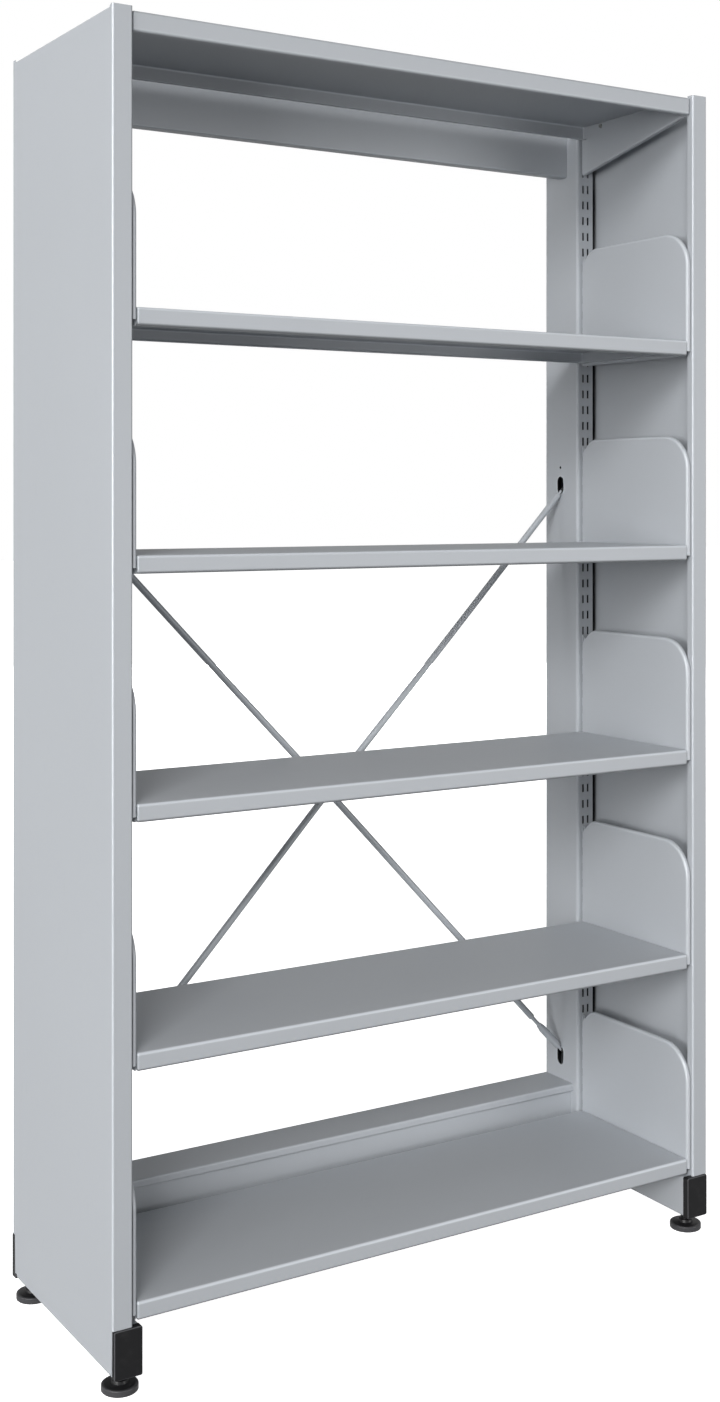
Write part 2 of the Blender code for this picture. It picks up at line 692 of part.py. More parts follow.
def shelf_mesh():
    """A folded shelf, drawn from the middle of its top at the height of that top."""
    half = SHELF_SHEET / 2
    lip = SHELF_LIP - half
    rear_lip = SHELF_REAR_LIP - half
    front = SHELF_FRONT + half
    rear = SHELF_BACK - half
    path = [(front + SHELF_HEM, -lip), (front, -lip), (front, -half), (rear, -half), (rear, -rear_lip),
            (rear - SHELF_REAR_HEM, -rear_lip)]
    reach = SUPPORT_FACE - SHELF_END_PLAY
    mesh = prism([bent_sheet(path, SHELF_SHEET, SHELF_BEND)], -reach, reach, "YZ")
    ends = []
    for outer in (-reach + LAP, reach - LAP):
        inner = outer - math.copysign(SHELF_SHEET, outer)
        ends.append(box((min(outer, inner), SHELF_FRONT + SHELF_HEM, -SHELF_END_FOLD),
                        (max(outer, inner), SHELF_BACK - SHELF_REAR_HEM, -half)))
    return fuse(mesh, *ends)


def shelves():
    """Five shelves, each hung on the slots by a left and a right support."""
    coat = finish("shelf_coat", COAT)
    support_coat = finish("support_coat", COAT)
    shelf = shelf_mesh()
    origin = (SUPPORT_FACE, POST_FRONT, 0)
    opposite = (-SUPPORT_FACE, POST_FRONT, 0)
    right = support_mesh()
    left = moved_to(mirrored(right), opposite)
    right = moved_to(right, origin)
    for level in range(SHELF_COUNT):
        name = f"shelf_{level}" if level else "base_shelf"
        unit = anchor(name + "_unit", (0, 0, BASE_TOP + level * SHELF_PITCH))
        place(name, shelf, coat, (0, 0, 0), unit)
        place(f"{name}_support_right", right, support_coat, origin, unit)
        place(f"{name}_support_left", left, support_coat, opposite, unit)


def canopy():
    """The top cover with its two tapered brackets and their screws."""
    half = CANOPY_SHEET / 2
    front = FRONT + CANOPY_RECESS + half
    rear = SUPPORT_REAR - SUPPORT_SHEET - GAP - half
    reach = SUPPORT_FACE + SUPPORT_SHEET + GAP + CANOPY_SHEET
    path = [(front + CANOPY_HEM, half - CANOPY_LIP), (front, half - CANOPY_LIP), (front, -half), (rear, -half),
            (rear, half - CANOPY_REAR_LIP), (rear - CANOPY_HEM, half - CANOPY_REAR_LIP)]
    cover = prism([bent_sheet(path, CANOPY_SHEET, SHELF_BEND)], -reach, reach, "YZ")
    folds = []
    holes = []
    for side in (-1, 1):
        near = side * (reach - CANOPY_SHEET)
        far = side * (reach - LAP)
        folds.append(box((min(near, far), front + CANOPY_HEM, -CANOPY_END_FOLD),
                         (max(near, far), rear - CANOPY_HEM - SUPPORT_SHEET, -half)))
        holes.append(drill((side * reach, FRONT + CANOPY_SCREW_SETBACK, -CANOPY_SCREW_DROP),
                           SMALL_SHANK + 2 * BORE_PLAY, SUPPORT_FLANGE, "X"))
        inner = side * (SUPPORT_FACE - GAP)
        outer = side * (reach + GAP)
        holes.append(box((min(inner, outer), rear - CANOPY_HEM - GAP, -CANOPY_LIP),
                         (max(inner, outer), SUPPORT_REAR, GAP)))
    cover = cut(fuse(cover, *folds), merged(holes))
    unit = anchor("canopy_unit", (0, 0, CANOPY_TOP))
    place("canopy", cover, finish("canopy_coat", COAT), (0, 0, 0), unit)

    nose = front + CANOPY_HEM + BRACKET_SETBACK
    top = -CANOPY_SHEET - GAP
    slope = Vector((SUPPORT_REAR - nose, BRACKET_NOSE - BRACKET_TAIL)).normalized()
    below = (slope.y, -slope.x)
    inward = BRACKET_BEND
    lower = [((nose - below[0] * inward, -BRACKET_NOSE - below[1] * inward), below),
             ((SUPPORT_REAR - below[0] * inward, -BRACKET_TAIL - below[1] * inward), below)]
    bracket = flanged_plate([(SUPPORT_REAR, top), (nose, top)], lower, inward)
    row = -CANOPY_RISE
    strip = hook_strip(BRACKET_HOOK_ROWS, row, -BRACKET_TAIL + STRIP_FOOT, top - GAP)
    hole = drill((SUPPORT_FACE, FRONT + CANOPY_SCREW_SETBACK, -CANOPY_SCREW_DROP),
                 SMALL_SHANK + 2 * BORE_PLAY, SUPPORT_FLANGE, "X")
    right = cut(fuse(bracket, strip), hole)
    origin = (SUPPORT_FACE, POST_FRONT, 0)
    opposite = (-SUPPORT_FACE, POST_FRONT, 0)
    left = moved_to(mirrored(right), opposite)
    coat = finish("bracket_coat", COAT)
    place("canopy_bracket_right", moved_to(right, origin), coat, origin, unit)
    place("canopy_bracket_left", left, coat, opposite, unit)

    screw = screw_mesh(SMALL_SHANK, SMALL_HEAD, SMALL_HEAD_HEIGHT, SMALL_LENGTH)
    zinc = finish("screw_zinc", ZINC)
    for side, name in ((1, "right"), (-1, "left")):
        spot = (side * (SUPPORT_FACE - GAP), FRONT + CANOPY_SCREW_SETBACK, -CANOPY_SCREW_DROP)
        piece = place(f"canopy_screw_{name}", screw, zinc, spot, unit)
        piece.rotation_euler = (0, -side * math.pi / 2, 0)


def rail_screw_places():
    """Where the rail screws pass the webs of the uprights, as depth and height."""
    depth = TOP_RAIL_FRONT + TOP_RAIL_FLANGE / 2
    middle = TOP_RAIL_TOP - TOP_RAIL_DROP - TOP_RAIL_HEIGHT / 2
    spread = RAIL_SCREW_SPREAD / 2
    low = BASE_RAIL_TOP - BASE_RAIL_LIP - BASE_RAIL_RISE / 3
    wall = BASE_RAIL_FRONT + BASE_RAIL_REACH
    quarter = (POST_BACK - wall) / 4
    return [(depth, middle + spread), (depth, middle - spread), (wall + quarter, low), (POST_BACK - quarter, low)]


def end_plates(low, high):
    """Two plates that close the ends of a rail."""
    plates = []
    for side in (-1, 1):
        outer = side * (RAIL_HALF - LAP)
        inner = side * (RAIL_HALF - LAP - RAIL_SHEET)
        plates.append(box((min(outer, inner), *low), (max(outer, inner), *high)))
    return plates


def rails():
    """The rear rails at the top and at the base, each closed by end plates and screwed to the uprights."""
    half = RAIL_SHEET / 2
    front = TOP_RAIL_FRONT + half
    top = TOP_RAIL_TOP - TOP_RAIL_DROP - half
    low = top - TOP_RAIL_HEIGHT + RAIL_SHEET
    rear = TOP_RAIL_FRONT + TOP_RAIL_FLANGE
    upper = prism([bent_sheet([(rear, top), (front, top), (front, low), (rear, low)], RAIL_SHEET, RAIL_BEND)],
                  -RAIL_HALF, RAIL_HALF, "YZ")
    upper = fuse(upper, *end_plates((front, low), (rear - LAP, top)))

    wall = BASE_RAIL_FRONT + BASE_RAIL_REACH + half
    nose = BASE_RAIL_FRONT + half
    lid = BASE_RAIL_TOP - half
    lip = BASE_RAIL_TOP - BASE_RAIL_LIP + half
    back = POST_BACK - half
    foot = BASE_TOP - BASE_RAIL_FALL
    skirt = BASE_RAIL_TOP - BASE_RAIL_REAR
    path = [(wall, foot), (wall, lip), (nose, lip), (nose, lid), (back, lid), (back, skirt)]
    lower = prism([bent_sheet(path, RAIL_SHEET, RAIL_BEND)], -RAIL_HALF, RAIL_HALF, "YZ")
    lower = fuse(lower, *end_plates((wall, skirt + RAIL_END_MARGIN), (back, lid)))

    coat = finish("rail_coat", COAT_SHADE)
    holes = {"top": [], "base": []}
    screw = screw_mesh(RAIL_SHANK, RAIL_HEAD, RAIL_HEAD_HEIGHT, RAIL_LENGTH)
    zinc = finish("rail_screw_zinc", ZINC)
    for number, (y, z) in enumerate(rail_screw_places()):
        rail = "top" if number < 2 else "base"
        for side, name in ((1, "right"), (-1, "left")):
            holes[rail].append(drill((side * RAIL_HALF, y, z), RAIL_SHANK + 2 * BORE_PLAY, POST_SHEET * 4, "X"))
            head = side * (POST_FACE + POST_SHEET + GAP)
            piece = place(f"{rail}_rail_screw_{name}_{number % 2 + 1}", screw, zinc, (head, y, z))
            piece.rotation_euler = (0, side * math.pi / 2, 0)
    origin = (0, TOP_RAIL_FRONT, TOP_RAIL_TOP - TOP_RAIL_DROP)
    place("top_rail", moved_to(cut(upper, merged(holes["top"])), origin), coat, origin)
    origin = (0, BASE_RAIL_FRONT, BASE_RAIL_TOP)
    place("base_rail", moved_to(cut(lower, merged(holes["base"])), origin), coat, origin)


def hooked_pin(start, along, turn):
    """A pin that passes an oblong hole along a rod and turns up or down behind the web."""
    behind = start + along * (2 * ROD_END_GAP + PIN_REACH + POST_SHEET)
    inside = start - along * 2 * ROD_END_GAP
    corner = behind + Vector((0, 0, turn)) * PIN_DIAMETER / 2 + along * PIN_DIAMETER / 3
    tip = corner + Vector((0, 0, turn)) * PIN_HOOK
    return tube([inside, behind, corner, tip], PIN_DIAMETER)


def braces():
    """Two crossed tension rods, hooked into the uprights at the top and by a sleeve at the foot."""
    slant = math.atan2(BRACE_RISE - BRACE_HOLE_LENGTH, 2 * POST_FACE)
    lift = PIN_DIAMETER / 2 / math.cos(slant) + GAP
    high = Vector((POST_FACE, BRACE_Y, BRACE_HIGH - BRACE_HOLE_LENGTH / 2 + lift))
    low = Vector((-POST_FACE, BRACE_Y, BRACE_LOW + BRACE_HOLE_LENGTH / 2 - lift))
    up = (high - low).normalized()
    rod_top = high - up * ROD_END_GAP * 2
    sleeve_foot = low + up * ROD_END_GAP * 2
    sleeve_top = sleeve_foot + up * SLEEVE_LENGTH
    shoulder = sleeve_top + up * STUD_SHOW
    stud_end = shoulder - up * STUD_LENGTH
    share = STUD_DIAMETER / ROD_DIAMETER
    crossing = (high + low) / 2
    bow = ROD_DIAMETER / 2 + GAP
    start = shoulder + up * LAP
    points = [stud_end, shoulder]
    points += [start.lerp(crossing, step / ROD_POINTS) for step in range(ROD_POINTS)]
    points += [crossing.lerp(rod_top, step / ROD_POINTS) for step in range(ROD_POINTS + 1)]
    shares = [share, share] + [1] * (len(points) - 2)
    for point in points[2:]:
        distance = (point - crossing).length
        point.y += bow * math.exp(-(distance / BOW_SPAN) ** 2)
    rod = fuse(tube(points, ROD_DIAMETER, shares), hooked_pin(rod_top, up, -1))

    radius = SLEEVE_DIAMETER / 2
    waist = SLEEVE_WAIST / 2
    profile = [(0, SLEEVE_LENGTH), (waist, SLEEVE_LENGTH), (radius, SLEEVE_LENGTH - SLEEVE_TAPER),
               (radius, SLEEVE_TAPER), (waist, 0), (0, 0)]
    sleeve = turned(profile, SCREW_STEPS)
    depth = STUD_LENGTH - STUD_SHOW + ROD_END_GAP
    bore = drill((0, 0, SLEEVE_LENGTH), STUD_DIAMETER + 2 * BORE_PLAY, depth * 2, "Z")
    sleeve = cut(sleeve, bore)
    facing = up.to_track_quat("Z", "Y").to_matrix().to_4x4()
    sleeve.transform(Matrix.Translation(sleeve_foot) @ facing)
    sleeve = fuse(sleeve, hooked_pin(sleeve_foot, -up, 1))

    coat = finish("brace_coat", COAT_SHADE)
    pair = (("rising", rod, sleeve, 1), ("falling", mirrored(rod), mirrored(sleeve), -1))
    for name, bar, end, side in pair:
        if side < 0:
            across = Matrix.Translation((0, 2 * BRACE_Y, 0)) @ Matrix.Scale(-1, 4, (0, 1, 0))
            bar.transform(across)
            bar.flip_normals()
            end.transform(across)
            end.flip_normals()
        top = (side * high.x, high.y, high.z)
        foot = (side * low.x, low.y, low.z)
        place(f"brace_rod_{name}", moved_to(bar, top), coat, top)
        place(f"brace_sleeve_{name}", moved_to(end, foot), coat, foot)


def panel_screws():
    """Screws that hold the rear folds of the end panels to the uprights."""
    screw = screw_mesh(SMALL_SHANK, SMALL_HEAD, SMALL_HEAD_HEIGHT, SMALL_LENGTH)
    zinc = finish("panel_screw_zinc", ZINC)
    for side, name in ((1, "right"), (-1, "left")):
        for number, height in enumerate(PANEL_SCREW_HEIGHTS, start=1):
            piece = place(f"panel_screw_{name}_{number}", screw, zinc, (side * PANEL_SCREW_X, BACK + GAP, height))
            piece.rotation_euler = (-math.pi / 2, 0, 0)


clear_scene()
RACK = new_collection("library_rack")
CUTTERS = new_collection("cutters")
end_panels()
base_legs()
leg_caps()
levelling_feet()
uprights()
shelves()
canopy()
rails()
braces()
panel_screws()
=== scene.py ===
"""Looks of a single-sided steel library rack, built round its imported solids.

Metres, +Z up, the front faces -Y. Every piece sits at the origin with its place in its mesh.
"""

import json
import logging
import math
from collections.abc import Mapping, Sequence
from dataclasses import dataclass, field
from enum import Enum

import bmesh
import bpy
import numpy as np
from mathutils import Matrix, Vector
from numpy.typing import NDArray


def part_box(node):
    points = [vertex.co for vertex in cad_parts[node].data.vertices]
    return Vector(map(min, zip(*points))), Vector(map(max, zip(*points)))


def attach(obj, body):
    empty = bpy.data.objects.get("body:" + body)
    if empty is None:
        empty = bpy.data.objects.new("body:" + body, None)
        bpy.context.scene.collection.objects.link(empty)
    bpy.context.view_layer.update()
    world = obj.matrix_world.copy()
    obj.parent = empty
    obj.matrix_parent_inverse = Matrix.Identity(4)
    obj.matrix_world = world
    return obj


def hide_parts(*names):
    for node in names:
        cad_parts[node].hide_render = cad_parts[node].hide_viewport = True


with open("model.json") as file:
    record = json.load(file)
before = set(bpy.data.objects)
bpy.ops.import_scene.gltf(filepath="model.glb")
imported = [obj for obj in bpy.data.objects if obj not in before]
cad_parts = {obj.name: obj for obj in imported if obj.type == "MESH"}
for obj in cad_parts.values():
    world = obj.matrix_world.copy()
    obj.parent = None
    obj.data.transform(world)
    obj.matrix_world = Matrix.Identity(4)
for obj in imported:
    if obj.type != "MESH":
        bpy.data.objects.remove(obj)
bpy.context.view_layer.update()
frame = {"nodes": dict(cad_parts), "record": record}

Array = NDArray[np.float64]
Colour = tuple[float, float, float]

MM = 0.001
GAP = 0.3 * MM
LAP = 0.2 * MM
WELD = 0.002 * MM
BEND_STEPS = 8
ROUND_STEPS = 24
TURN_STEPS = 48
SHARP_ANGLE = math.radians(40)
BEND = "bend"
# Bend values over one bend: half a sine wave, from 0 at the flats to 1 in the middle.
ARCH = np.sin(np.linspace(0, math.pi, BEND_STEPS + 1))
# Share of painted highlight on rounded rims and flange bends.
EDGE_PAINTED_LIGHT = 0.5
WHITE = (1.0, 1.0, 1.0, 1.0)

log = logging.getLogger("library_rack")


class Plane(Enum):
    """World axes of a profile's two directions and of the way that it is carried."""

    XY = (0, 1, 2)
    YZ = (1, 2, 0)
    ZX = (2, 0, 1)

    def place(self, flat: Array, along: Array | float) -> Array:
        """Puts a profile's points on their world axes.

        Args:
            flat: The points, with the profile's two directions in the last dimension.
            along: Their places on the way that the profile is carried.

        Returns:
            Points, with X, Y and Z in the last dimension.
        """
        parts = np.stack(np.broadcast_arrays(flat[..., 0], flat[..., 1], along), axis=-1)
        points = np.empty_like(parts, dtype=float)
        points[..., list(self.value)] = parts
        return points


class Way(Enum):
    """A way along one axis, by its sign."""

    @property
    def label(self) -> str:
        """The way's word in the names of nodes."""
        return self.name.lower()


class Side(Way):
    """The two ends of the rack, by the sign of X."""

    LEFT = -1
    RIGHT = 1


class End(Way):
    """The front and the rear of the rack, by the sign of Y."""

    FRONT = -1
    REAR = 1


def arc(centre: Sequence[float], radius: float, start: float, end: float, steps: int) -> Array:
    """Points along an arc: the centre plus the radius turned in equal parts from start to end.

    Args:
        centre: The arc's centre.
        radius: Its radius.
        start: The first angle in degrees.
        end: The last angle in degrees.
        steps: How many parts the turn has.

    Returns:
        The points, one in each row.
    """
    angle = np.radians(np.linspace(start, end, steps + 1))
    return np.asarray(centre) + radius * np.stack((np.cos(angle), np.sin(angle)), axis=-1)


def rounded_rectangle(low: Sequence[float], high: Sequence[float], radius: float, inset: float) -> Array:
    """A rectangle with round corners, drawn in by an inset that shortens the corner radius.

    Args:
        low: The rectangle's lowest corner.
        high: Its highest corner.
        radius: The corner radius before the inset.
        inset: How far the outline is drawn in.

    Returns:
        The closed outline's points, one in each row.
    """
    corners = ((high[0] - radius, high[1] - radius, 0), (low[0] + radius, high[1] - radius, 90),
               (low[0] + radius, low[1] + radius, 180), (high[0] - radius, low[1] + radius, 270))
    arcs = [arc((u, v), radius - inset, turn, turn + 90, BEND_STEPS) for u, v, turn in corners]
    return np.concatenate(arcs)


def quarter_round(radius: float) -> tuple[Array, Array]:
    """The steps of an edge that is rounded by a quarter circle.

    Args:
        radius: The edge's radius.

    Returns:
        How far each step is drawn in, from the radius to 0, and how deep it lies, from 0 to the radius.
    """
    turn = np.radians(np.linspace(0, 90, BEND_STEPS + 1))
    return radius * (1 - np.sin(turn)), radius * (1 - np.cos(turn))


def end_sheets(reach: float, sheet: float) -> tuple[tuple[float, float], tuple[float, float]]:
    """Where the plates that close a piece's two ends lie in X, a lap inside the ends.

    Args:
        reach: The X of the right end, as far out as the left one.
        sheet: The plates' thickness.

    Returns:
        The start and end of the right plate and of the left one.
    """
    outer = reach - LAP
    inner = outer - sheet
    return (inner, outer), (-outer, -inner)


@dataclass(frozen=True)
class Stations:
    """Places along the middle of a bent strip, with their left-hand normals."""

    points: Array
    normals: Array
    bends: Array

    @property
    def along(self) -> Array:
        """The length of strip before each station."""
        steps = np.linalg.norm(np.diff(self.points, axis=0), axis=1)
        return np.concatenate(((0.0,), np.cumsum(steps)))

    def with_breaks(self, lengths: Sequence[float]) -> "Stations":
        """Adds stations by interpolation.

        Args:
            lengths: The lengths along the strip where stations are wanted.

        Returns:
            The fuller row of stations.
        """
        along = self.along
        wanted = np.union1d(along, lengths)
        columns = np.column_stack((self.points, self.normals, self.bends))
        filled = np.stack([np.interp(wanted, along, column) for column in columns.T], axis=-1)
        return Stations(filled[:, :2], filled[:, 2:4], filled[:, 4])


@dataclass(frozen=True)
class Fold:
    """A strip of sheet bent along the corners of a path."""

    path: Sequence[Sequence[float]]
    sheet: float
    inside: float
    # The share of painted light on each bend: above 0 a painted highlight, below 0 painted shade.
    painted_light_share: float | Sequence[float] = 1.0

    def stations(self) -> Stations:
        """Rounds the path's corners.

        At a corner that turns by an angle, the arc's centre lies one middle radius off both legs. The arc
        starts that radius times the tangent of half the angle before the corner, and its spokes turn in
        equal parts. The bend value is the corner's share of painted light (above 0 a painted highlight,
        below 0 painted shade) times half a sine wave over the turn, so it fades out at the flats.

        Returns:
            The stations from the path's start to its end.
        """
        corners = np.asarray(self.path, dtype=float)
        legs = np.diff(corners, axis=0)
        units = legs / np.linalg.norm(legs, axis=1, keepdims=True)
        before = units[:-1]
        after = units[1:]
        left = np.stack((-units[:, 1], units[:, 0]), axis=-1)
        turn = np.arctan2((left[:-1] * after).sum(axis=1), (before * after).sum(axis=1))
        radius = self.inside + self.sheet / 2
        sign = np.sign(turn)[:, None]
        inward = sign * left[:-1]
        setback = radius * np.tan(np.abs(turn) / 2)[:, None]
        centre = corners[1:-1] - before * setback + inward * radius
        share = np.linspace(0, 1, BEND_STEPS + 1)
        angle = turn[:, None] * share
        spoke_x = -inward[:, :1] * np.cos(angle) + inward[:, 1:] * np.sin(angle)
        spoke_y = -inward[:, :1] * np.sin(angle) - inward[:, 1:] * np.cos(angle)
        spokes = np.stack((spoke_x, spoke_y), axis=-1)
        arcs = (centre[:, None] + radius * spokes).reshape(-1, 2)
        normals = (-sign[:, None] * spokes).reshape(-1, 2)
        bends = np.broadcast_to(self.painted_light_share, len(turn))[:, None] * ARCH
        return Stations(np.concatenate((corners[:1], arcs, corners[-1:])),
                        np.concatenate((left[:1], normals, left[-1:])),
                        np.concatenate(((0.0,), bends.ravel(), (0.0,))))


@dataclass
class Blank:
    """One piece in the making: grids and outlines that become a single mesh."""

    name: str
    side: Side = Side.RIGHT
    points: list[Array] = field(default_factory=list)
    bends: list[Array] = field(default_factory=list)
    faces: list[list[int]] = field(default_factory=list)

    def _store(self, points: Array, bends: Array | float) -> Array:
        """Keeps points and their bend values.

        Args:
            points: The points, with X, Y and Z in the last dimension.
            bends: The bend value of each point, or one for all.

        Returns:
            The points' numbers in the same layout.
        """
        start = sum(len(part) for part in self.points)
        shape = points.shape[:-1]
        self.points.append(points.reshape(-1, 3))
        self.bends.append(np.broadcast_to(bends, shape).ravel())
        return start + np.arange(math.prod(shape)).reshape(shape)

    def grid(self, points: Array, bends: Array | float = 0.0, wrap_rows: bool = False) -> None:
        """Adds a surface of four-sided faces between neighbours of a grid.

        Args:
            points: The surface's points by row and column.
            bends: The bend value of each point, or one for all.
            wrap_rows: Whether the last row joins the first.
        """
        index = self._store(points, bends)
        if wrap_rows:
            index = np.concatenate((index, index[:1]))
        quads = np.stack((index[:-1, :-1], index[1:, :-1], index[1:, 1:], index[:-1, 1:]), axis=-1)
        self.faces += quads.reshape(-1, 4).tolist()

    def outline(self, points: Array) -> None:
        """Adds one flat face inside a closed outline."""
        self.faces.append(self._store(points, 0.0).tolist())

    def sheet(self, stations: Stations, thickness: float, plane: Plane, start: Array | float,
              end: Array | float, soft: float = 0.0) -> None:
        """Carries a bent strip in a straight line, as a closed sheet of one thickness.

        The walls are the strip's middle plus and minus half the thickness along its normals, between a
        start and an end that may differ at each station. Soft ends are drawn in against the normals along
        a quarter circle.

        Args:
            stations: The strip's stations.
            thickness: The sheet's thickness.
            plane: The plane of the strip.
            start: Where the sheet starts, for all stations or for each.
            end: Where it ends.
            soft: The radius of the rounding at both ends.
        """
        inset, depth = quarter_round(soft) if soft else np.zeros((2, 1))
        first = np.broadcast_to(start, len(stations.points))[:, None] + depth
        last = np.broadcast_to(end, len(stations.points))[:, None] - depth[::-1]
        ends = np.concatenate((first, last), axis=1)
        drawn = np.concatenate((inset, inset[::-1]))[:, None]
        normals = stations.normals[:, None]
        left = stations.points[:, None] + normals * (thickness / 2 - drawn)
        right = left - normals * thickness
        loop = np.concatenate((left, right[::-1]))
        bends = np.concatenate((stations.bends, stations.bends[::-1]))[:, None]
        self.grid(plane.place(loop, np.concatenate((ends, ends[::-1]))), bends, wrap_rows=True)
        for column in (0, -1):
            wall = np.stack((left[:, column], right[:, column]), axis=1)
            self.grid(plane.place(wall, ends[:, column, None]), stations.bends[:, None])

    def slab(self, outline: Array, plane: Plane, start: float, end: float) -> None:
        """Carries a flat outline in a straight line and closes both ends.

        Args:
            outline: The outline's points.
            plane: Its plane.
            start: Where the slab starts.
            end: Where it ends.
        """
        outline = np.asarray(outline, dtype=float)
        self.grid(plane.place(outline[:, None], np.array((start, end))), wrap_rows=True)
        for level in (start, end):
            self.outline(plane.place(outline, level))

    def box(self, low: Sequence[float], high: Sequence[float]) -> None:
        """Adds a box between two corners."""
        base = ((low[0], low[1]), (high[0], low[1]), (high[0], high[1]), (low[0], high[1]))
        self.slab(np.array(base), Plane.XY, low[2], high[2])

    def build(self) -> bpy.types.Object:
        """Welds the grids, turns their faces outwards and shades flats flat and bends round.

        Returns:
            The piece, linked to the scene.
        """
        mesh = bpy.data.meshes.new(self.name)
        points = np.concatenate(self.points) * (self.side.value, 1, 1)
        mesh.from_pydata(points.tolist(), [], self.faces)
        mesh.attributes.new(BEND, "FLOAT", "POINT").data.foreach_set("value", np.concatenate(self.bends))
        work = bmesh.new()
        work.from_mesh(mesh)
        bmesh.ops.remove_doubles(work, verts=work.verts, dist=WELD)
        bmesh.ops.recalc_face_normals(work, faces=work.faces)
        work.to_mesh(mesh)
        work.free()
        mesh.shade_smooth()
        mesh.set_sharp_from_angle(angle=SHARP_ANGLE)
        piece = bpy.data.objects.new(self.name, mesh)
        bpy.context.scene.collection.objects.link(piece)
        weighted = piece.modifiers.new("Flats", "WEIGHTED_NORMAL")
        weighted.keep_sharp = True
        return piece


class Wire:
    """A shader value whose arithmetic adds Math nodes."""

    def __init__(self, sheet: "ShaderSheet", socket: bpy.types.NodeSocket) -> None:
        """Keeps the socket and the sheet that it is drawn on."""
        self.sheet = sheet
        self.socket = socket

    def math(self, operation: str, *values: "Wire | float") -> "Wire":
        """A Math node of this value and others."""
        inputs = dict(enumerate((self, *values)))
        return self.sheet.node("ShaderNodeMath", {"operation": operation}, inputs)

    def __add__(self, other: "Wire | float") -> "Wire":
        """This value plus another."""
        return self.math("ADD", other)

    def __sub__(self, other: "Wire | float") -> "Wire":
        """This value minus another."""
        return self.math("SUBTRACT", other)

    def __rsub__(self, other: float) -> "Wire":
        """A number minus this value."""
        return self.sheet.node("ShaderNodeMath", {"operation": "SUBTRACT"}, {0: other, 1: self})

    def __mul__(self, other: "Wire | float") -> "Wire":
        """This value times another."""
        return self.math("MULTIPLY", other)

    __radd__ = __add__
    __rmul__ = __mul__

    def ramp(self, low: float, high: float) -> "Wire":
        """A smooth step from 0 at a low value to 1 at a high one."""
        return self.sheet.node("ShaderNodeMapRange", {"interpolation_type": "SMOOTHSTEP"},
                               {"Value": self, "From Min": low, "From Max": high})


@dataclass(frozen=True)
class Grain:
    """A layer of noise: waves to the metre, detail, and its shares of the tone and of the roughness."""

    scale: float
    detail: float
    tone: float = 0.0
    rough: float = 0.0


class ShaderSheet:
    """The nodes of one material or world."""

    def __init__(self, tree: bpy.types.NodeTree) -> None:
        """Starts from an empty node tree."""
        self.tree = tree
        tree.nodes.clear()

    def node(self, kind: str, settings: Mapping[str, object] | None = None,
             inputs: Mapping[str | int, object] | None = None, output: str | int = 0) -> Wire:
        """Adds one node.

        Args:
            kind: The node's type.
            settings: Its own settings, set first.
            inputs: A value or a Wire for each named or numbered socket.
            output: The socket that is wanted.

        Returns:
            The wanted output.
        """
        made = self.tree.nodes.new(kind)
        for key, value in (settings or {}).items():
            setattr(made, key, value)
        for key, value in (inputs or {}).items():
            if isinstance(value, Wire):
                self.tree.links.new(value.socket, made.inputs[key])
            else:
                made.inputs[key].default_value = value
        return Wire(self, made.outputs[output]) if made.outputs else None

    def place(self) -> Wire:
        """The point of the surface in the rack's own coordinates."""
        return self.node("ShaderNodeTexCoord", output="Object")

    def axis(self, place: Wire, name: str) -> Wire:
        """One coordinate of a place."""
        return self.node("ShaderNodeSeparateXYZ", {}, {0: place}, name)

    def noise(self, place: Wire, grain: Grain) -> Wire:
        """Smooth noise about zero."""
        inputs = {"Vector": place, "Scale": grain.scale, "Detail": grain.detail}
        return self.node("ShaderNodeTexNoise", {}, inputs) - 0.5

    def bends(self) -> Wire:
        """The bend value of the piece's mesh."""
        return self.node("ShaderNodeAttribute", {"attribute_name": BEND}, output="Fac")

    def stretched(self, place: Wire, scale: Colour) -> Wire:
        """Coordinates stretched along the axes."""
        return self.node("ShaderNodeMapping", {}, {"Vector": place, "Scale": scale})

    def tint(self, colour: Colour, tone: Wire) -> Wire:
        """A colour made lighter or darker by a value."""
        return self.node("ShaderNodeMix", {"data_type": "RGBA", "blend_type": "MULTIPLY"},
                         {0: 1.0, 6: (*colour, 1.0), 7: tone}, 2)

    def mix(self, share: Wire, first: Wire, second: Wire | Sequence[float]) -> Wire:
        """Two colours mixed by a share of the second."""
        return self.node("ShaderNodeMix", {"data_type": "RGBA"}, {0: share, 6: first, 7: second}, 2)

    def bump(self, height: Wire, strength: float, distance: float) -> Wire:
        """A normal that follows a height."""
        inputs = {"Strength": strength, "Distance": distance, "Height": height}
        return self.node("ShaderNodeBump", {}, inputs)

    def surface(self, inputs: Mapping[str, object]) -> None:
        """Ends the sheet with a Principled surface."""
        shader = self.node("ShaderNodeBsdfPrincipled", {}, inputs)
        self.node("ShaderNodeOutputMaterial", {}, {"Surface": shader})


def new_material(name: str) -> tuple[bpy.types.Material, ShaderSheet]:
    """Starts a material.

    Args:
        name: The material's name.

    Returns:
        The material and its empty sheet.
    """
    material = bpy.data.materials.new(name)
    material.use_nodes = True
    return material, ShaderSheet(material.node_tree)


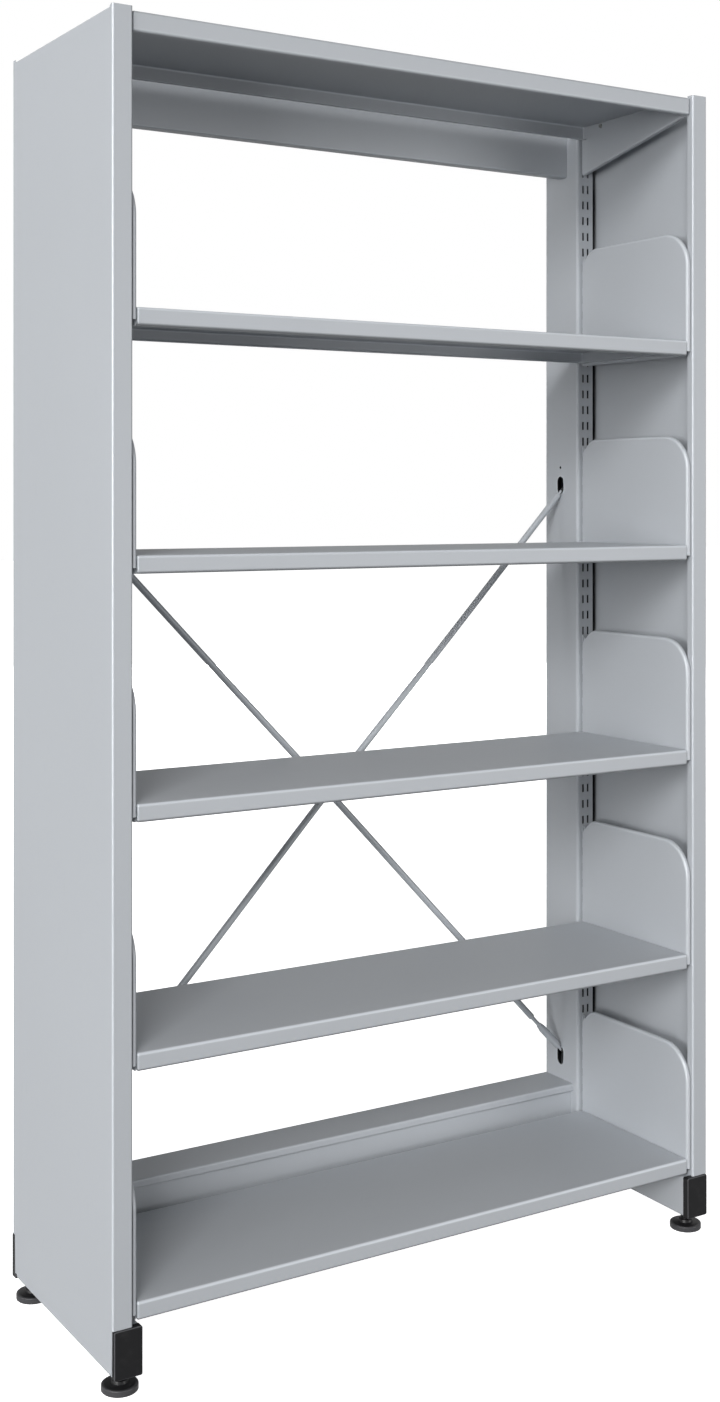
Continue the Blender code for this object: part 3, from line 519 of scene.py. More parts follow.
@dataclass(frozen=True)
class ShadedHollow:
    """The space that an upright closes off against its end panel, where shade is painted into the coat."""

    bend: float = 4 * MM
    margin: float = 0.6 * MM
    reach: float = 13 * MM
    top_reach: float = 150 * MM

    def mask(self, sheet: ShaderSheet, place: Wire) -> Wire:
        """Finds the space: nearer than a bend's radius to a core inside the upright, or up to the panel.

        The mask rises from 0 over a short way in from the gap beside the panel and down from the open top.

        Args:
            sheet: The nodes of the finish.
            place: The point of the surface.

        Returns:
            1 in the space and 0 outside it.
        """
        low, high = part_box("upright_right")
        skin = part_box("end_panel_right")[1].x
        across = sheet.axis(place, "X").math("ABSOLUTE")
        along = sheet.axis(place, "Y")
        height = sheet.axis(place, "Z")
        side = (low.x + self.bend - across).math("MAXIMUM", 0.0)
        front = (low.y + self.bend - along).math("MAXIMUM", 0.0)
        rear = (along - (high.y - self.bend)).math("MAXIMUM", 0.0)
        beyond = side * side + front * front + rear * rear
        inside = beyond.math("LESS_THAN", (self.bend - self.margin) ** 2)
        inside *= height.math("GREATER_THAN", low.z) * across.math("LESS_THAN", skin - self.margin)
        deep = across.math("LESS_THAN", high.x).math("MAXIMUM", along.ramp(low.y, low.y + self.reach))
        return inside * deep * (1 - height.ramp(high.z - self.top_reach, high.z))


@dataclass(frozen=True)
class PowderCoat:
    """Satin silver-grey powder coat with flakes and a fine peel, and painted highlight and shade on its
    bends.
    """

    name: str
    colour: Colour
    painted_bend_light: float = 0.10
    roughness: float = 0.46
    metallic: float = 0.08
    flakes: Grain = Grain(2600, 1, 0.16, 0.12)
    clouds: Grain = Grain(2.4, 3, 0.05, 0.10)
    rubs: Grain = Grain(1, 4, rough=0.10)
    rub_stretch: Colour = (14, 90, 30)
    rub_range: tuple[float, float] = (0.12, 0.32)
    bend_gloss: float = 0.10
    hollow_shade: float = 0.92
    hollow_roughness: float = 0.40
    peel: Grain = Grain(620, 2)
    waves: Grain = Grain(190, 1)
    wave_share: float = 1.6
    bump: float = 0.10
    bump_depth: float = 0.12 * MM

    def material(self) -> bpy.types.Material:
        """Draws the finish: its tone is 1 plus flakes, clouds and the painted light on the bends, less in
        the hollows as painted shade.

        Returns:
            The material.
        """
        material, sheet = new_material(self.name)
        place = sheet.place()
        flakes = sheet.noise(place, self.flakes)
        clouds = sheet.noise(place, self.clouds)
        rubs = sheet.noise(sheet.stretched(place, self.rub_stretch), self.rubs).ramp(*self.rub_range)
        bends = sheet.bends()
        hollow = ShadedHollow().mask(sheet, place)
        # Painted light: the bends are painted lighter as a highlight, or darker as shade where their share
        # is below 0.
        tone = 1 + flakes * self.flakes.tone + clouds * self.clouds.tone + bends * self.painted_bend_light
        # Painted shade: the hollows inside the uprights are darkened.
        tone *= 1 - hollow * self.hollow_shade
        rough = self.roughness + flakes * self.flakes.rough + clouds * self.clouds.rough
        rough += rubs * self.rubs.rough - bends * self.bend_gloss + hollow * self.hollow_roughness
        peel = sheet.noise(place, self.peel) + sheet.noise(place, self.waves) * self.wave_share
        sheet.surface({"Base Color": sheet.tint(self.colour, tone), "Roughness": rough,
                       "Metallic": self.metallic, "Normal": sheet.bump(peel, self.bump, self.bump_depth)})
        return material


@dataclass(frozen=True)
class BlackPlastic:
    """Moulded black plastic with a fine spark grain, a little dust and edges painted paler as a highlight.
    """

    name: str
    gloss: float = 0.16
    bump: float = 0.08
    bump_depth: float = 0.10 * MM
    colour: Colour = (0.014, 0.014, 0.015)
    dust: Colour = (0.036, 0.036, 0.036)
    dust_share: float = 0.35
    roughness: float = 0.34
    grain: Grain = Grain(1500, 3, 0.5, 0.15)
    haze: Grain = Grain(60, 4, rough=0.20)
    haze_range: tuple[float, float] = (0.0, 0.30)
    # How much the bends are painted lighter, as a highlight.
    edge: float = 6.0
    edge_dust: float = 0.10
    edge_gloss: float = 0.06

    def material(self) -> bpy.types.Material:
        """Draws the finish: dust lies where broad noise is high, and the grain is fine noise.

        Returns:
            The material.
        """
        material, sheet = new_material(self.name)
        place = sheet.place()
        grain = sheet.noise(place, self.grain)
        haze = sheet.noise(place, self.haze)
        bends = sheet.bends()
        dusty = haze.ramp(*self.haze_range) * self.dust_share + bends * self.edge_dust
        # The bends are painted lighter by the edge share, as a highlight.
        clean = sheet.tint(self.colour, 1 + grain * self.grain.tone + bends * self.edge)
        rough = self.roughness + haze * self.haze.rough + grain * self.grain.rough - bends * self.edge_gloss
        sheet.surface({"Base Color": sheet.mix(dusty, clean, (*self.dust, 1.0)), "Roughness": rough,
                       "Specular IOR Level": self.gloss,
                       "Normal": sheet.bump(grain, self.bump, self.bump_depth)})
        return material


@dataclass(frozen=True)
class ZincPlate:
    """Bright zinc plate, slightly blotched."""

    name: str
    colour: Colour = (0.36, 0.36, 0.35)
    roughness: float = 0.34
    blotch: Grain = Grain(160, 3, 0.30, 0.20)
    fine: Grain = Grain(1800, 2, rough=0.15)
    bump: float = 0.12
    bump_depth: float = 0.05 * MM

    def material(self) -> bpy.types.Material:
        """Draws the finish: broad noise blotches the tone, and fine noise scatters the gloss.

        Returns:
            The material.
        """
        material, sheet = new_material(self.name)
        place = sheet.place()
        blotch = sheet.noise(place, self.blotch)
        fine = sheet.noise(place, self.fine)
        tone = 1 + blotch * self.blotch.tone
        rough = self.roughness + blotch * self.blotch.rough + fine * self.fine.rough
        sheet.surface({"Base Color": sheet.tint(self.colour, tone), "Roughness": rough, "Metallic": 1.0,
                       "Normal": sheet.bump(fine, self.bump, self.bump_depth)})
        return material


SILVER: Colour = (0.455, 0.478, 0.507)
# The number after a coat's colour is how strongly its bends are painted with highlight and shade.
FINISHES = (PowderCoat("panel_coat", SILVER, 0.22), PowderCoat("shelf_coat", SILVER, 0.35),
            PowderCoat("frame_coat", SILVER), BlackPlastic("cap_plastic"),
            BlackPlastic("foot_plastic", gloss=0.30, bump=0.10), ZincPlate("zinc_steel"))


@dataclass
class Workshop:
    """Holds the finishes and puts dressed pieces on their bodies."""

    materials: dict[str, bpy.types.Material] = field(init=False)

    def __post_init__(self) -> None:
        """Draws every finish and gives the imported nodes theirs."""
        self.materials = {finish.name: finish.material() for finish in FINISHES}
        for row in frame["record"]["subparts"]:
            node = frame["nodes"][row["node"]]
            node.data.materials.clear()
            node.data.materials.append(self.materials[row["material_slot"]])

    def settle(self, blank: Blank, body: str, slot: str, *nodes: str) -> None:
        """Finishes a piece and gives it its coat and its body.

        Args:
            blank: The piece in the making.
            body: The body that it moves with.
            slot: Its material slot.
            nodes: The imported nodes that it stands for.
        """
        piece = blank.build()
        piece.data.materials.append(self.materials[slot])
        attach(piece, body)
        if nodes:
            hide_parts(*nodes)
        log.info("%s on %s, %d faces", piece.name, body, len(piece.data.polygons))


@dataclass(frozen=True)
class EndFrame:
    """An end panel with the black caps of its leg."""

    shop: Workshop
    side: Side
    sheet: float = 1.2 * MM
    bend: float = 1.6 * MM
    lip: float = 13 * MM
    rise: float = 4 * MM
    corner: float = 10 * MM
    ramp: float = 5 * MM
    rear_ramp: float = 1.25 * MM
    step: float = 0.4 * MM
    window: float = 9.8 * MM
    cap_plate: float = 12.5 * MM
    cap_corner: float = 2.6 * MM
    cap_edge: float = 1.4 * MM
    plug_wall: float = 2.3 * MM

    def build(self) -> None:
        """Makes the panel and the two caps."""
        self.panel()
        for end in End:
            self.cap(end)

    def panel(self) -> None:
        """Folds the panel: a strip round the front, the outside and the rear, carried up between two edges.

        The edges' heights are piecewise linear in the length along the strip: the corners rise over the
        long edge, and the foot is cut away round the caps. Of the two front bends, the one to the rack's
        left is painted lighter as a highlight and the other darker as shade.
        """
        low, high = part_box("end_panel_right")
        cap_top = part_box("leg_cap_front_right")[1].z + GAP
        half = self.sheet / 2
        inner = low.x + half
        outer = high.x - half
        front = low.y + half
        rear = high.y - half
        path = ((inner, low.y + self.lip), (inner, front), (outer, front), (outer, rear), (low.x, rear))
        # Painted highlight on the front bend to the rack's left, painted shade on the other front bend.
        painted_light_share = (self.side.value, -self.side.value, 0)
        strip = Fold(path, self.sheet, self.bend, painted_light_share).stations()
        skin = np.isclose(strip.points[:, 0], outer)
        corners = (low.y + self.corner, high.y - self.corner)
        depths = (corners[0] - self.ramp, *corners, corners[1] + self.rear_ramp,
                  high.y - self.window - self.step, high.y - self.window)
        spots = np.interp(depths, strip.points[skin, 1], strip.along[skin])
        start = strip.along[skin][0] - self.step
        cuts = (start - self.step, start, *spots)
        strip = strip.with_breaks(cuts)
        top = np.interp(strip.along, spots[:4], (high.z, high.z - self.rise, high.z - self.rise, high.z))
        raised = low.z + self.rise
        foot = np.interp(strip.along, cuts, (cap_top, low.z, low.z, raised, raised, low.z, low.z, cap_top))
        blank = Blank(f"end_panel_{self.side.label}_folded", self.side)
        blank.sheet(strip, self.sheet, Plane.XY, foot, top)
        self.shop.settle(blank, "frame", "panel_coat", f"end_panel_{self.side.label}")

    def cap(self, end: End) -> None:
        """Moulds a leg cap: rounded rectangles stacked along Y, drawn in at the edges, with a plug behind.

        Args:
            end: The end of the leg that it closes.
        """
        node = f"leg_cap_{end.label}_{self.side.label}"
        low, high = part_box(f"leg_cap_{end.label}_right")
        face = low.y if end is End.FRONT else high.y
        inward = -end.value
        inset, depth = quarter_round(self.cap_edge)
        depths = np.concatenate((depth, self.cap_plate - depth[::-1]))
        rings = np.stack([rounded_rectangle((low.z, low.x), (high.z, high.x), self.cap_corner, drawn)
                          for drawn in (*inset, *inset[::-1])])
        points = Plane.ZX.place(rings, (face + inward * depths)[:, None])
        blank = Blank(f"{node}_moulded", self.side)
        # The rounded edges are painted lighter as a highlight, through their bend values.
        blank.grid(points.transpose(1, 0, 2), np.tile(ARCH, 2), wrap_rows=True)
        blank.outline(points[0])
        blank.outline(points[-1])
        leg_low, leg_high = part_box("base_leg_right")
        ends = sorted((face + inward * (self.cap_plate - LAP), face + inward * (high.y - low.y)))
        blank.box((leg_low.x + self.plug_wall, ends[0], leg_low.z + self.plug_wall),
                  (leg_high.x - self.plug_wall, ends[1], leg_high.z - self.plug_wall))
        self.shop.settle(blank, "frame", "cap_plastic", node)


@dataclass(frozen=True)
class LevellingFoot:
    """A screw-in foot: a dished pad, a threaded collar and a stem."""

    shop: Workshop
    end: End
    side: Side
    pad_height: float = 9 * MM
    edge: float = 1.6 * MM
    crown: float = 1.5 * MM
    boss: float = 24 * MM
    boss_height: float = 5 * MM
    dish: float = 2.1 * MM
    collar: float = 16 * MM
    collar_height: float = 11.2 * MM
    stem: float = 10 * MM
    pitch: float = 2.4 * MM
    thread: float = 0.9 * MM
    samples: int = 64

    def profile(self, pad: float, height: float) -> Array:
        """Draws the foot's outline, from the stem's top down to the middle of the pad.

        Args:
            pad: The pad's radius.
            height: The height of the stem's top.

        Returns:
            The radius and height of each point.
        """
        crown = self.pad_height + self.crown
        boss = crown + self.boss_height
        collar = boss + self.collar_height
        stem = self.stem / 2
        core = self.collar / 2
        hub = self.boss / 2
        cut = self.thread
        groove = (pad + hub) / 2
        upper = ((0, height), (stem - cut, height), (stem, height - cut), (stem, collar),
                 (core - cut, collar))
        levels = np.linspace(collar - cut, boss, self.samples)
        screw = np.column_stack((np.full(self.samples, core), levels))
        slope = ((core + cut, boss), (hub - cut, boss - cut), (hub, crown + cut), (hub, crown),
                 (groove + cut, self.pad_height + self.crown / 2),
                 (groove + cut / 2, self.pad_height + self.crown / 4),
                 (groove + self.dish, self.pad_height))
        rim = arc((pad - self.edge, self.pad_height - self.edge), self.edge, 90, 0, BEND_STEPS)
        sole = ((pad, self.edge / 2), (pad - self.edge / 2, 0), (0, 0))
        return np.concatenate((upper, screw, slope, rim, sole))

    def build(self) -> None:
        """Turns the profile about Z and winds the collar's thread.

        The thread takes a depth off the radius by a cosine of the height over the pitch, less the turn.
        """
        name = f"foot_{self.end.label}_{self.side.label}"
        low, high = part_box(name)
        pad = (high.x - low.x) / 2
        profile = self.profile(pad, high.z)
        turn = np.linspace(0, 2 * math.pi, TURN_STEPS, endpoint=False)[:, None]
        height = np.broadcast_to(profile[:, 1], (TURN_STEPS, len(profile)))
        threaded = np.isclose(profile[:, 0], self.collar / 2)
        wave = 0.5 - 0.5 * np.cos(2 * math.pi * height / self.pitch - turn)
        radius = profile[:, 0] - threaded * self.thread * wave
        centre = (low + high) / 2
        across = centre.x + radius * np.cos(turn)
        along = centre.y + radius * np.sin(turn)
        rounded = np.isclose(profile[:, 0], pad, atol=self.edge)
        blank = Blank(f"{name}_turned")
        # The pad's rounded rim is painted lighter as a highlight, through its bend value.
        blank.grid(np.stack((across, along, height), axis=-1), rounded * EDGE_PAINTED_LIGHT, wrap_rows=True)
        self.shop.settle(blank, f"levelling_{name}", "foot_plastic", name)


@dataclass(frozen=True)
class TurnedEdge:
    """A flange bent off a plate's edge, as a profile of reach off the plate and depth behind its face."""

    sheet: float
    bend: float
    depth: float

    def profile(self) -> Array:
        """Draws the flange from the face round the bend to its end, and back inside the bend.

        Returns:
            The reach and depth of each point.
        """
        centre = (0, self.bend)
        hollow = self.bend - self.sheet
        outside = arc(centre, self.bend, -90, 0, BEND_STEPS)
        inside = arc(centre, hollow, 0, -90, BEND_STEPS)
        return np.concatenate((outside, ((self.bend, self.depth), (hollow, self.depth)), inside))

    def add(self, blank: Blank, face: float, edge: Array, outward: Array, rest: Array) -> None:
        """Adds a plate whose edge is partly flanged.

        The flange is its profile carried along the edge: each point goes out by the profile's reach and
        back by its depth. The plate fills the edge and the rest of its outline on both faces.

        Args:
            blank: The piece in the making.
            face: The X of the plate's face.
            edge: Points in Y and Z along the flanged edge, at the start of the bend.
            outward: Unit vectors off the plate at those points.
            rest: The other points of the plate's outline.
        """
        profile = self.profile()
        flange = edge[:, None] + outward[:, None] * profile[:, :1]
        points = Plane.YZ.place(flange, face + profile[:, 1])
        # The flange's bends are painted lighter as a highlight, through their bend values.
        blank.grid(points, np.concatenate((ARCH, (0.0, 0.0), ARCH)) * EDGE_PAINTED_LIGHT)
        blank.outline(points[0])
        blank.outline(points[-1])
        faces = np.array((face, face + self.sheet))
        outline = np.concatenate((edge, rest))
        for level in faces:
            blank.outline(Plane.YZ.place(outline, level))
        border = np.concatenate((edge[-1:], rest, edge[:1]))
        blank.grid(Plane.YZ.place(border[:, None], faces))


@dataclass(frozen=True)
class HookStrip:
    """The strip behind a support, with hooks that pass the slots and hang down inside the upright."""

    sheet: float = 1.5 * MM
    pitch: float = 28 * MM
    slot_height: float = 14 * MM
    slot_edge: float = 13 * MM
    wall: float = 2 * MM
    standoff: float = 0.4 * MM
    neck: float = 5 * MM
    drop: float = 7 * MM
    nose: float = 3 * MM
    rear_play: float = 3.5 * MM

    @property
    def rear(self) -> float:
        """The rear edge of the plate that the strip joins."""
        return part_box("upright_right")[0].y - self.rear_play

    def add(self, blank: Blank, face: float, rows: Sequence[float], low: float, high: float) -> None:
        """Adds the strip as an outline carried across X, and the jog that joins it to its plate.

        Args:
            blank: The piece in the making.
            face: The X of the plate's face.
            rows: The heights of the slots that take the hooks.
            low: The strip's lower end.
            high: Its upper end.
        """
        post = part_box("upright_right")[0]
        slot = post.x + self.slot_edge
        behind = post.y - self.standoff
        inside = post.y + self.wall + self.standoff
        tip = inside + self.nose
        seat = np.array(sorted(rows)) - self.slot_height / 2 + GAP
        depths = np.tile((behind, inside, inside, tip, tip, behind), len(seat))
        levels = np.array((0, 0, -self.drop, -self.drop, self.neck, self.neck))
        hooks = np.column_stack((depths, (seat[:, None] + levels).ravel()))
        rear = post.y - self.rear_play
        start = rear - self.sheet
        outline = np.concatenate((((start, high), (start, low), (behind, low)), hooks, ((behind, high),)))
        half = self.sheet / 2
        blank.slab(outline, Plane.YZ, slot - half, slot + half)
        blank.box((face + LAP, start + LAP, low + LAP), (slot + half - LAP, rear + LAP, high - LAP))


@dataclass(frozen=True)
class Pan:
    """A folded top with a hemmed lip at the front and at the rear, closed by a plate at each end."""

    sheet: float
    bend: float
    hem: float
    rear_hem: float
    rear_lip: float
    end_fold: float
    end_stop: float
    soft: float
    # The share of painted light on each bend, from the front hem to the rear hem: above 0 a painted
    # highlight, below 0 painted shade.
    painted_light_share: tuple[float, ...]
    cut: float = 0.6

    def strip(self, low: Vector, high: Vector) -> Stations:
        """Bends the strip from the front hem up, over the top and down to the rear hem.

        Args:
            low: The lowest corner of the piece's box.
            high: Its highest corner.

        Returns:
            The strip's stations in Y and Z.
        """
        half = self.sheet / 2
        front = low.y + half
        rear = high.y - half
        top = high.z - half
        lip = low.z + half
        rear_lip = high.z - self.rear_lip + half
        path = ((front + self.hem, lip), (front, lip), (front, top), (rear, top), (rear, rear_lip),
                (rear - self.rear_hem, rear_lip))
        return Fold(path, self.sheet, self.bend, self.painted_light_share).stations()

    def add(self, blank: Blank, strip: Stations, low: Vector, high: Vector, reach: Array | float) -> None:
        """Carries the strip along X and closes its ends.

        An end plate fills the front lip, with a share of its bends cut off the corners, and the top.

        Args:
            blank: The piece in the making.
            strip: The strip's stations.
            low: The lowest corner of the piece's box.
            high: Its highest corner.
            reach: How far the strip goes to either side, for all stations or for each.
        """
        blank.sheet(strip, self.sheet, Plane.YZ, -reach, reach, self.soft)
        half = self.sheet / 2
        drawn = self.cut * self.soft
        slant = self.cut * (self.bend + half - drawn)
        front = low.y + half + drawn
        top = high.z - half - drawn
        lip = low.z + half + drawn
        fold = high.z - self.end_fold
        stop = high.y - half - self.end_stop
        outline = np.array(((front + slant, top), (front, top - slant), (front, lip + slant),
                            (front + slant, lip), (front + self.hem, lip), (front + self.hem, fold),
                            (stop, fold), (stop, top)))
        for ends in end_sheets(np.max(reach), self.sheet):
            blank.slab(outline, Plane.YZ, *ends)


@dataclass(frozen=True)
class ShelfUnit:
    """A shelf and its two rounded supports."""

    shop: Workshop
    name: str
    # The lip's lower bend is painted darker as shade, and the other bends lighter as a highlight.
    pan: Pan = Pan(sheet=1 * MM, bend=3 * MM, hem=12 * MM, rear_hem=9 * MM, rear_lip=20 * MM,
                   end_fold=18 * MM, end_stop=9 * MM, soft=2.6 * MM, painted_light_share=(-1, 1, 1, 1))
    strip: HookStrip = HookStrip()
    flange: float = 7.8 * MM
    flange_short: float = 1.3 * MM
    flange_bend: float = 5 * MM
    flange_drop: float = 17 * MM
    flange_end: float = 35
    front_round: float = 58 * MM
    rear_round: float = 36 * MM
    support_sheet: float = 1.5 * MM
    tab_drop: float = 13 * MM
    hook_rise: float = 10 * MM
    hook_rows: tuple[int, ...] = (0, 2, 4)
    strip_foot: float = 18 * MM
    ledge_reach: float = 16 * MM
    ledge_setback: float = 3 * MM

    def build(self) -> None:
        """Makes the shelf and both supports."""
        low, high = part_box(self.name)
        blank = Blank(f"{self.name}_folded")
        self.pan.add(blank, self.pan.strip(low, high), low, high, high.x)
        self.shop.settle(blank, f"{self.name}_unit", "shelf_coat", self.name)
        for side in Side:
            self.support(side)

    def support(self, side: Side) -> None:
        """Presses a support: a plate whose front and top edges turn outwards round two corner arcs.

        Args:
            side: The end of the shelf that it carries.
        """
        node = f"{self.name}_support_{side.label}"
        low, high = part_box(f"{self.name}_support_right")
        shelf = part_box(self.name)
        level = shelf[1].z
        face = high.x - self.flange
        rear = self.strip.rear
        edge = TurnedEdge(self.support_sheet, self.flange_bend, self.flange - self.flange_short)
        inset = self.flange_bend
        front = low.y + inset
        front_round = self.front_round - inset
        front_centre = (front + front_round, high.z - self.front_round)
        rear_centre = (rear - self.rear_round, high.z - self.rear_round)
        rising = arc((0, 0), 1, 180, 90, ROUND_STEPS)
        falling = arc((0, 0), 1, 90, self.flange_end, BEND_STEPS)
        outward = np.concatenate((rising[:1], rising, falling))
        path = np.concatenate((((front, level - self.flange_drop),), front_centre + front_round * rising,
                               rear_centre + (self.rear_round - inset) * falling))
        rest = np.concatenate((arc(rear_centre, self.rear_round, self.flange_end, 0, BEND_STEPS),
                               ((rear, low.z), (front, low.z))))
        blank = Blank(f"{node}_pressed", side)
        edge.add(blank, face, path, outward, rest)
        lowest = level + self.hook_rise
        rows = [lowest + row * self.strip.pitch for row in self.hook_rows]
        self.strip.add(blank, face, rows, lowest - self.strip_foot, high.z - self.tab_drop)
        ledge = level - self.pan.end_fold - GAP
        ledge_front = shelf[0].y + self.pan.hem + self.ledge_setback
        ledge_rear = shelf[1].y - self.pan.rear_hem - self.ledge_setback
        blank.box((face - self.ledge_reach, ledge_front, ledge - self.support_sheet),
                  (face + self.support_sheet - LAP, ledge_rear, ledge))
        self.shop.settle(blank, f"{self.name}_unit", "shelf_coat", node)


@dataclass(frozen=True)
class CrossScrew:
    """A pan-head screw with a cross recess, pointing along X away from its head."""

    head: float = 7.4 * MM
    height: float = 2.4 * MM
    brim: float = 0.62
    shank: float = 3.6 * MM
    slot: float = 1.1 * MM
    slot_slope: float = 0.3 * MM
    reach: float = 4.4 * MM
    reach_slope: float = 0.5 * MM
    depth: float = 1.5 * MM
    rings: int = 22

    def add(self, blank: Blank, centre: Vector, tip: float) -> None:
        """Adds the screw.

        The head is a disc with a brim, and its dome is the root of 1 less the radius's share to the fourth
        power. The recess takes a depth off where the point lies within half a slot of either axis and
        within the recess's reach.

        Args:
            blank: The piece in the making.
            centre: The middle of the underside of the head.
            tip: The X of the shank's end.
        """
        turn = np.linspace(0, 2 * math.pi, 2 * TURN_STEPS, endpoint=False)[:, None]
        edge = self.head / 2
        radius = np.linspace(0, edge, self.rings)[None, :]
        across = radius * np.cos(turn)
        up = radius * np.sin(turn)
        arm = np.minimum(np.abs(across), np.abs(up))
        cross = np.clip((self.slot / 2 - arm) / self.slot_slope + 0.5, 0, 1)
        cross *= np.clip((self.reach / 2 - radius) / self.reach_slope + 0.5, 0, 1)
        curve = np.sqrt(np.clip(1 - (radius / edge) ** 4, 0, 1))
        dome = self.height * (self.brim + (1 - self.brim) * curve)
        side = math.copysign(1, tip - centre.x)
        face = centre.x - side * (dome - self.depth * cross)
        blank.grid(np.stack((face, centre.y + across, centre.z + up), axis=-1), wrap_rows=True)
        reaches = np.array((edge, edge, self.shank / 2, self.shank / 2, 0))
        levels = np.array((centre.x - side * self.height * self.brim, centre.x, centre.x, tip, tip))
        ring = np.stack((centre.y + reaches * np.cos(turn), centre.z + reaches * np.sin(turn)), axis=-1)
        blank.grid(Plane.YZ.place(ring, levels), wrap_rows=True)


@dataclass(frozen=True)
class CanopyUnit:
    """The top cover, its tapered brackets and their screws."""

    shop: Workshop
    # The lip's lower bend is painted lighter as a highlight, and the top's front bend a little darker as
    # shade.
    pan: Pan = Pan(sheet=1.2 * MM, bend=3 * MM, hem=10 * MM, rear_hem=10 * MM, rear_lip=25 * MM,
                   end_fold=12 * MM, end_stop=12 * MM, soft=2 * MM, painted_light_share=(1, -0.5, 1, 1))
    strip: HookStrip = HookStrip()
    overhang: float = 2.4 * MM
    flange: float = 7.8 * MM
    bracket_sheet: float = 1.5 * MM
    bracket_bend: float = 3 * MM
    nose_drop: float = 31 * MM
    tail_drop: float = 86 * MM
    slot_drop: float = 26 * MM
    hook_rows: tuple[int, ...] = (-1, 0)
    strip_foot: float = 18 * MM

    def build(self) -> None:
        """Makes the cover, and a bracket and a screw on each side."""
        self.cover()
        for side in Side:
            self.bracket(side)
            self.screw(side)

    def cover(self) -> None:
        """Folds the cover, whose rear lip is shorter than its top, to pass between the brackets."""
        low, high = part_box("canopy")
        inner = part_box("canopy_bracket_right")[1].x - self.flange - GAP
        half = self.pan.sheet / 2
        strip = self.pan.strip(low, high)
        roof = np.isclose(strip.points[:, 1], high.z - half)
        hem = high.y - half - self.pan.rear_hem - GAP
        notch = np.interp(hem, strip.points[roof, 0], strip.along[roof])
        strip = strip.with_breaks((notch, notch + LAP))
        reach = np.where(strip.along > notch + LAP / 2, inner, high.x + self.overhang)
        blank = Blank("canopy_folded")
        self.pan.add(blank, strip, low, high, reach)
        self.shop.settle(blank, "canopy_unit", "shelf_coat", "canopy")

    def bracket(self, side: Side) -> None:
        """Presses a bracket: a plate that tapers to the front, with its lower edge turned outwards.

        Args:
            side: The end of the canopy that it carries.
        """
        node = f"canopy_bracket_{side.label}"
        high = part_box("canopy_bracket_right")[1]
        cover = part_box("canopy")
        level = cover[1].z
        face = high.x - self.flange
        rear = self.strip.rear
        nose = cover[0].y + self.pan.sheet / 2 + self.pan.end_stop
        ends = np.array(((nose, level - self.nose_drop), (rear, level - self.tail_drop)))
        run = ends[1] - ends[0]
        below = np.array((run[1], -run[0])) / np.linalg.norm(run)
        rest = np.array(((rear, high.z), (nose, high.z)))
        edge = TurnedEdge(self.bracket_sheet, self.bracket_bend, self.flange)
        blank = Blank(f"{node}_pressed", side)
        edge.add(blank, face, ends - below * self.bracket_bend, np.tile(below, (2, 1)), rest)
        rows = [level - self.slot_drop + row * self.strip.pitch for row in self.hook_rows]
        self.strip.add(blank, face, rows, level - self.tail_drop + self.strip_foot, high.z - GAP)
        self.shop.settle(blank, "canopy_unit", "shelf_coat", node)

    def screw(self, side: Side) -> None:
        """Makes a canopy screw, whose head lies on the inside of its bracket.

        Args:
            side: The side of its bracket.
        """
        node = f"canopy_screw_{side.label}"
        low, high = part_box("canopy_screw_right")
        centre = (low + high) / 2
        shape = CrossScrew()
        centre.x = low.x + shape.height
        blank = Blank(f"{node}_turned", side)
        shape.add(blank, centre, high.x)
        self.shop.settle(blank, "canopy_unit", "zinc_steel", node)


@dataclass(frozen=True)
class RearRails:
    """The folded rails between the uprights at the top and at the base."""

    shop: Workshop
    sheet: float = 1.5 * MM
    bend: float = 1.5 * MM
    lip: float = 13 * MM
    reach: float = 7 * MM
    skirt: float = 46 * MM
    margin: float = 3 * MM

    def build(self) -> None:
        """Makes both rails."""
        self.top()
        self.base()

    def rail(self, node: str, path: Sequence[Sequence[float]], *plates: Sequence[Sequence[float]]) -> None:
        """Folds a rail, carries it along X and closes its ends.

        Args:
            node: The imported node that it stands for.
            path: The corners of its strip in Y and Z.
            plates: The lowest and highest corner in Y and Z of each plate in its ends.
        """
        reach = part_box(node)[1].x
        blank = Blank(f"{node}_folded")
        blank.sheet(Fold(path, self.sheet, self.bend).stations(), self.sheet, Plane.YZ, -reach, reach)
        for low, high in plates:
            for start, end in end_sheets(reach, self.sheet):
                blank.box((start, *low), (end, *high))
        self.shop.settle(blank, "frame", "frame_coat", node)

    def top(self) -> None:
        """Folds the top rail: a channel open to the rear."""
        low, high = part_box("top_rail")
        half = self.sheet / 2
        front = low.y + half
        lid = high.z - half
        sill = low.z + half
        path = ((high.y, lid), (front, lid), (front, sill), (high.y, sill))
        self.rail("top_rail", path, ((front, sill), (high.y - LAP, lid)))

    def base(self) -> None:
        """Folds the base rail: a wall, a forward lip, a top and a rear skirt."""
        low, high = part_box("base_rail")
        half = self.sheet / 2
        wall = low.y + self.reach + half
        nose = low.y + half
        lid = high.z - half
        lip = high.z - self.lip + half
        back = high.y - half
        skirt = high.z - self.skirt
        path = ((wall, low.z), (wall, lip), (nose, lip), (nose, lid), (back, lid), (back, skirt))
        self.rail("base_rail", path, ((wall, skirt + self.margin), (back, lid)), ((nose, lip), (wall, lid)))


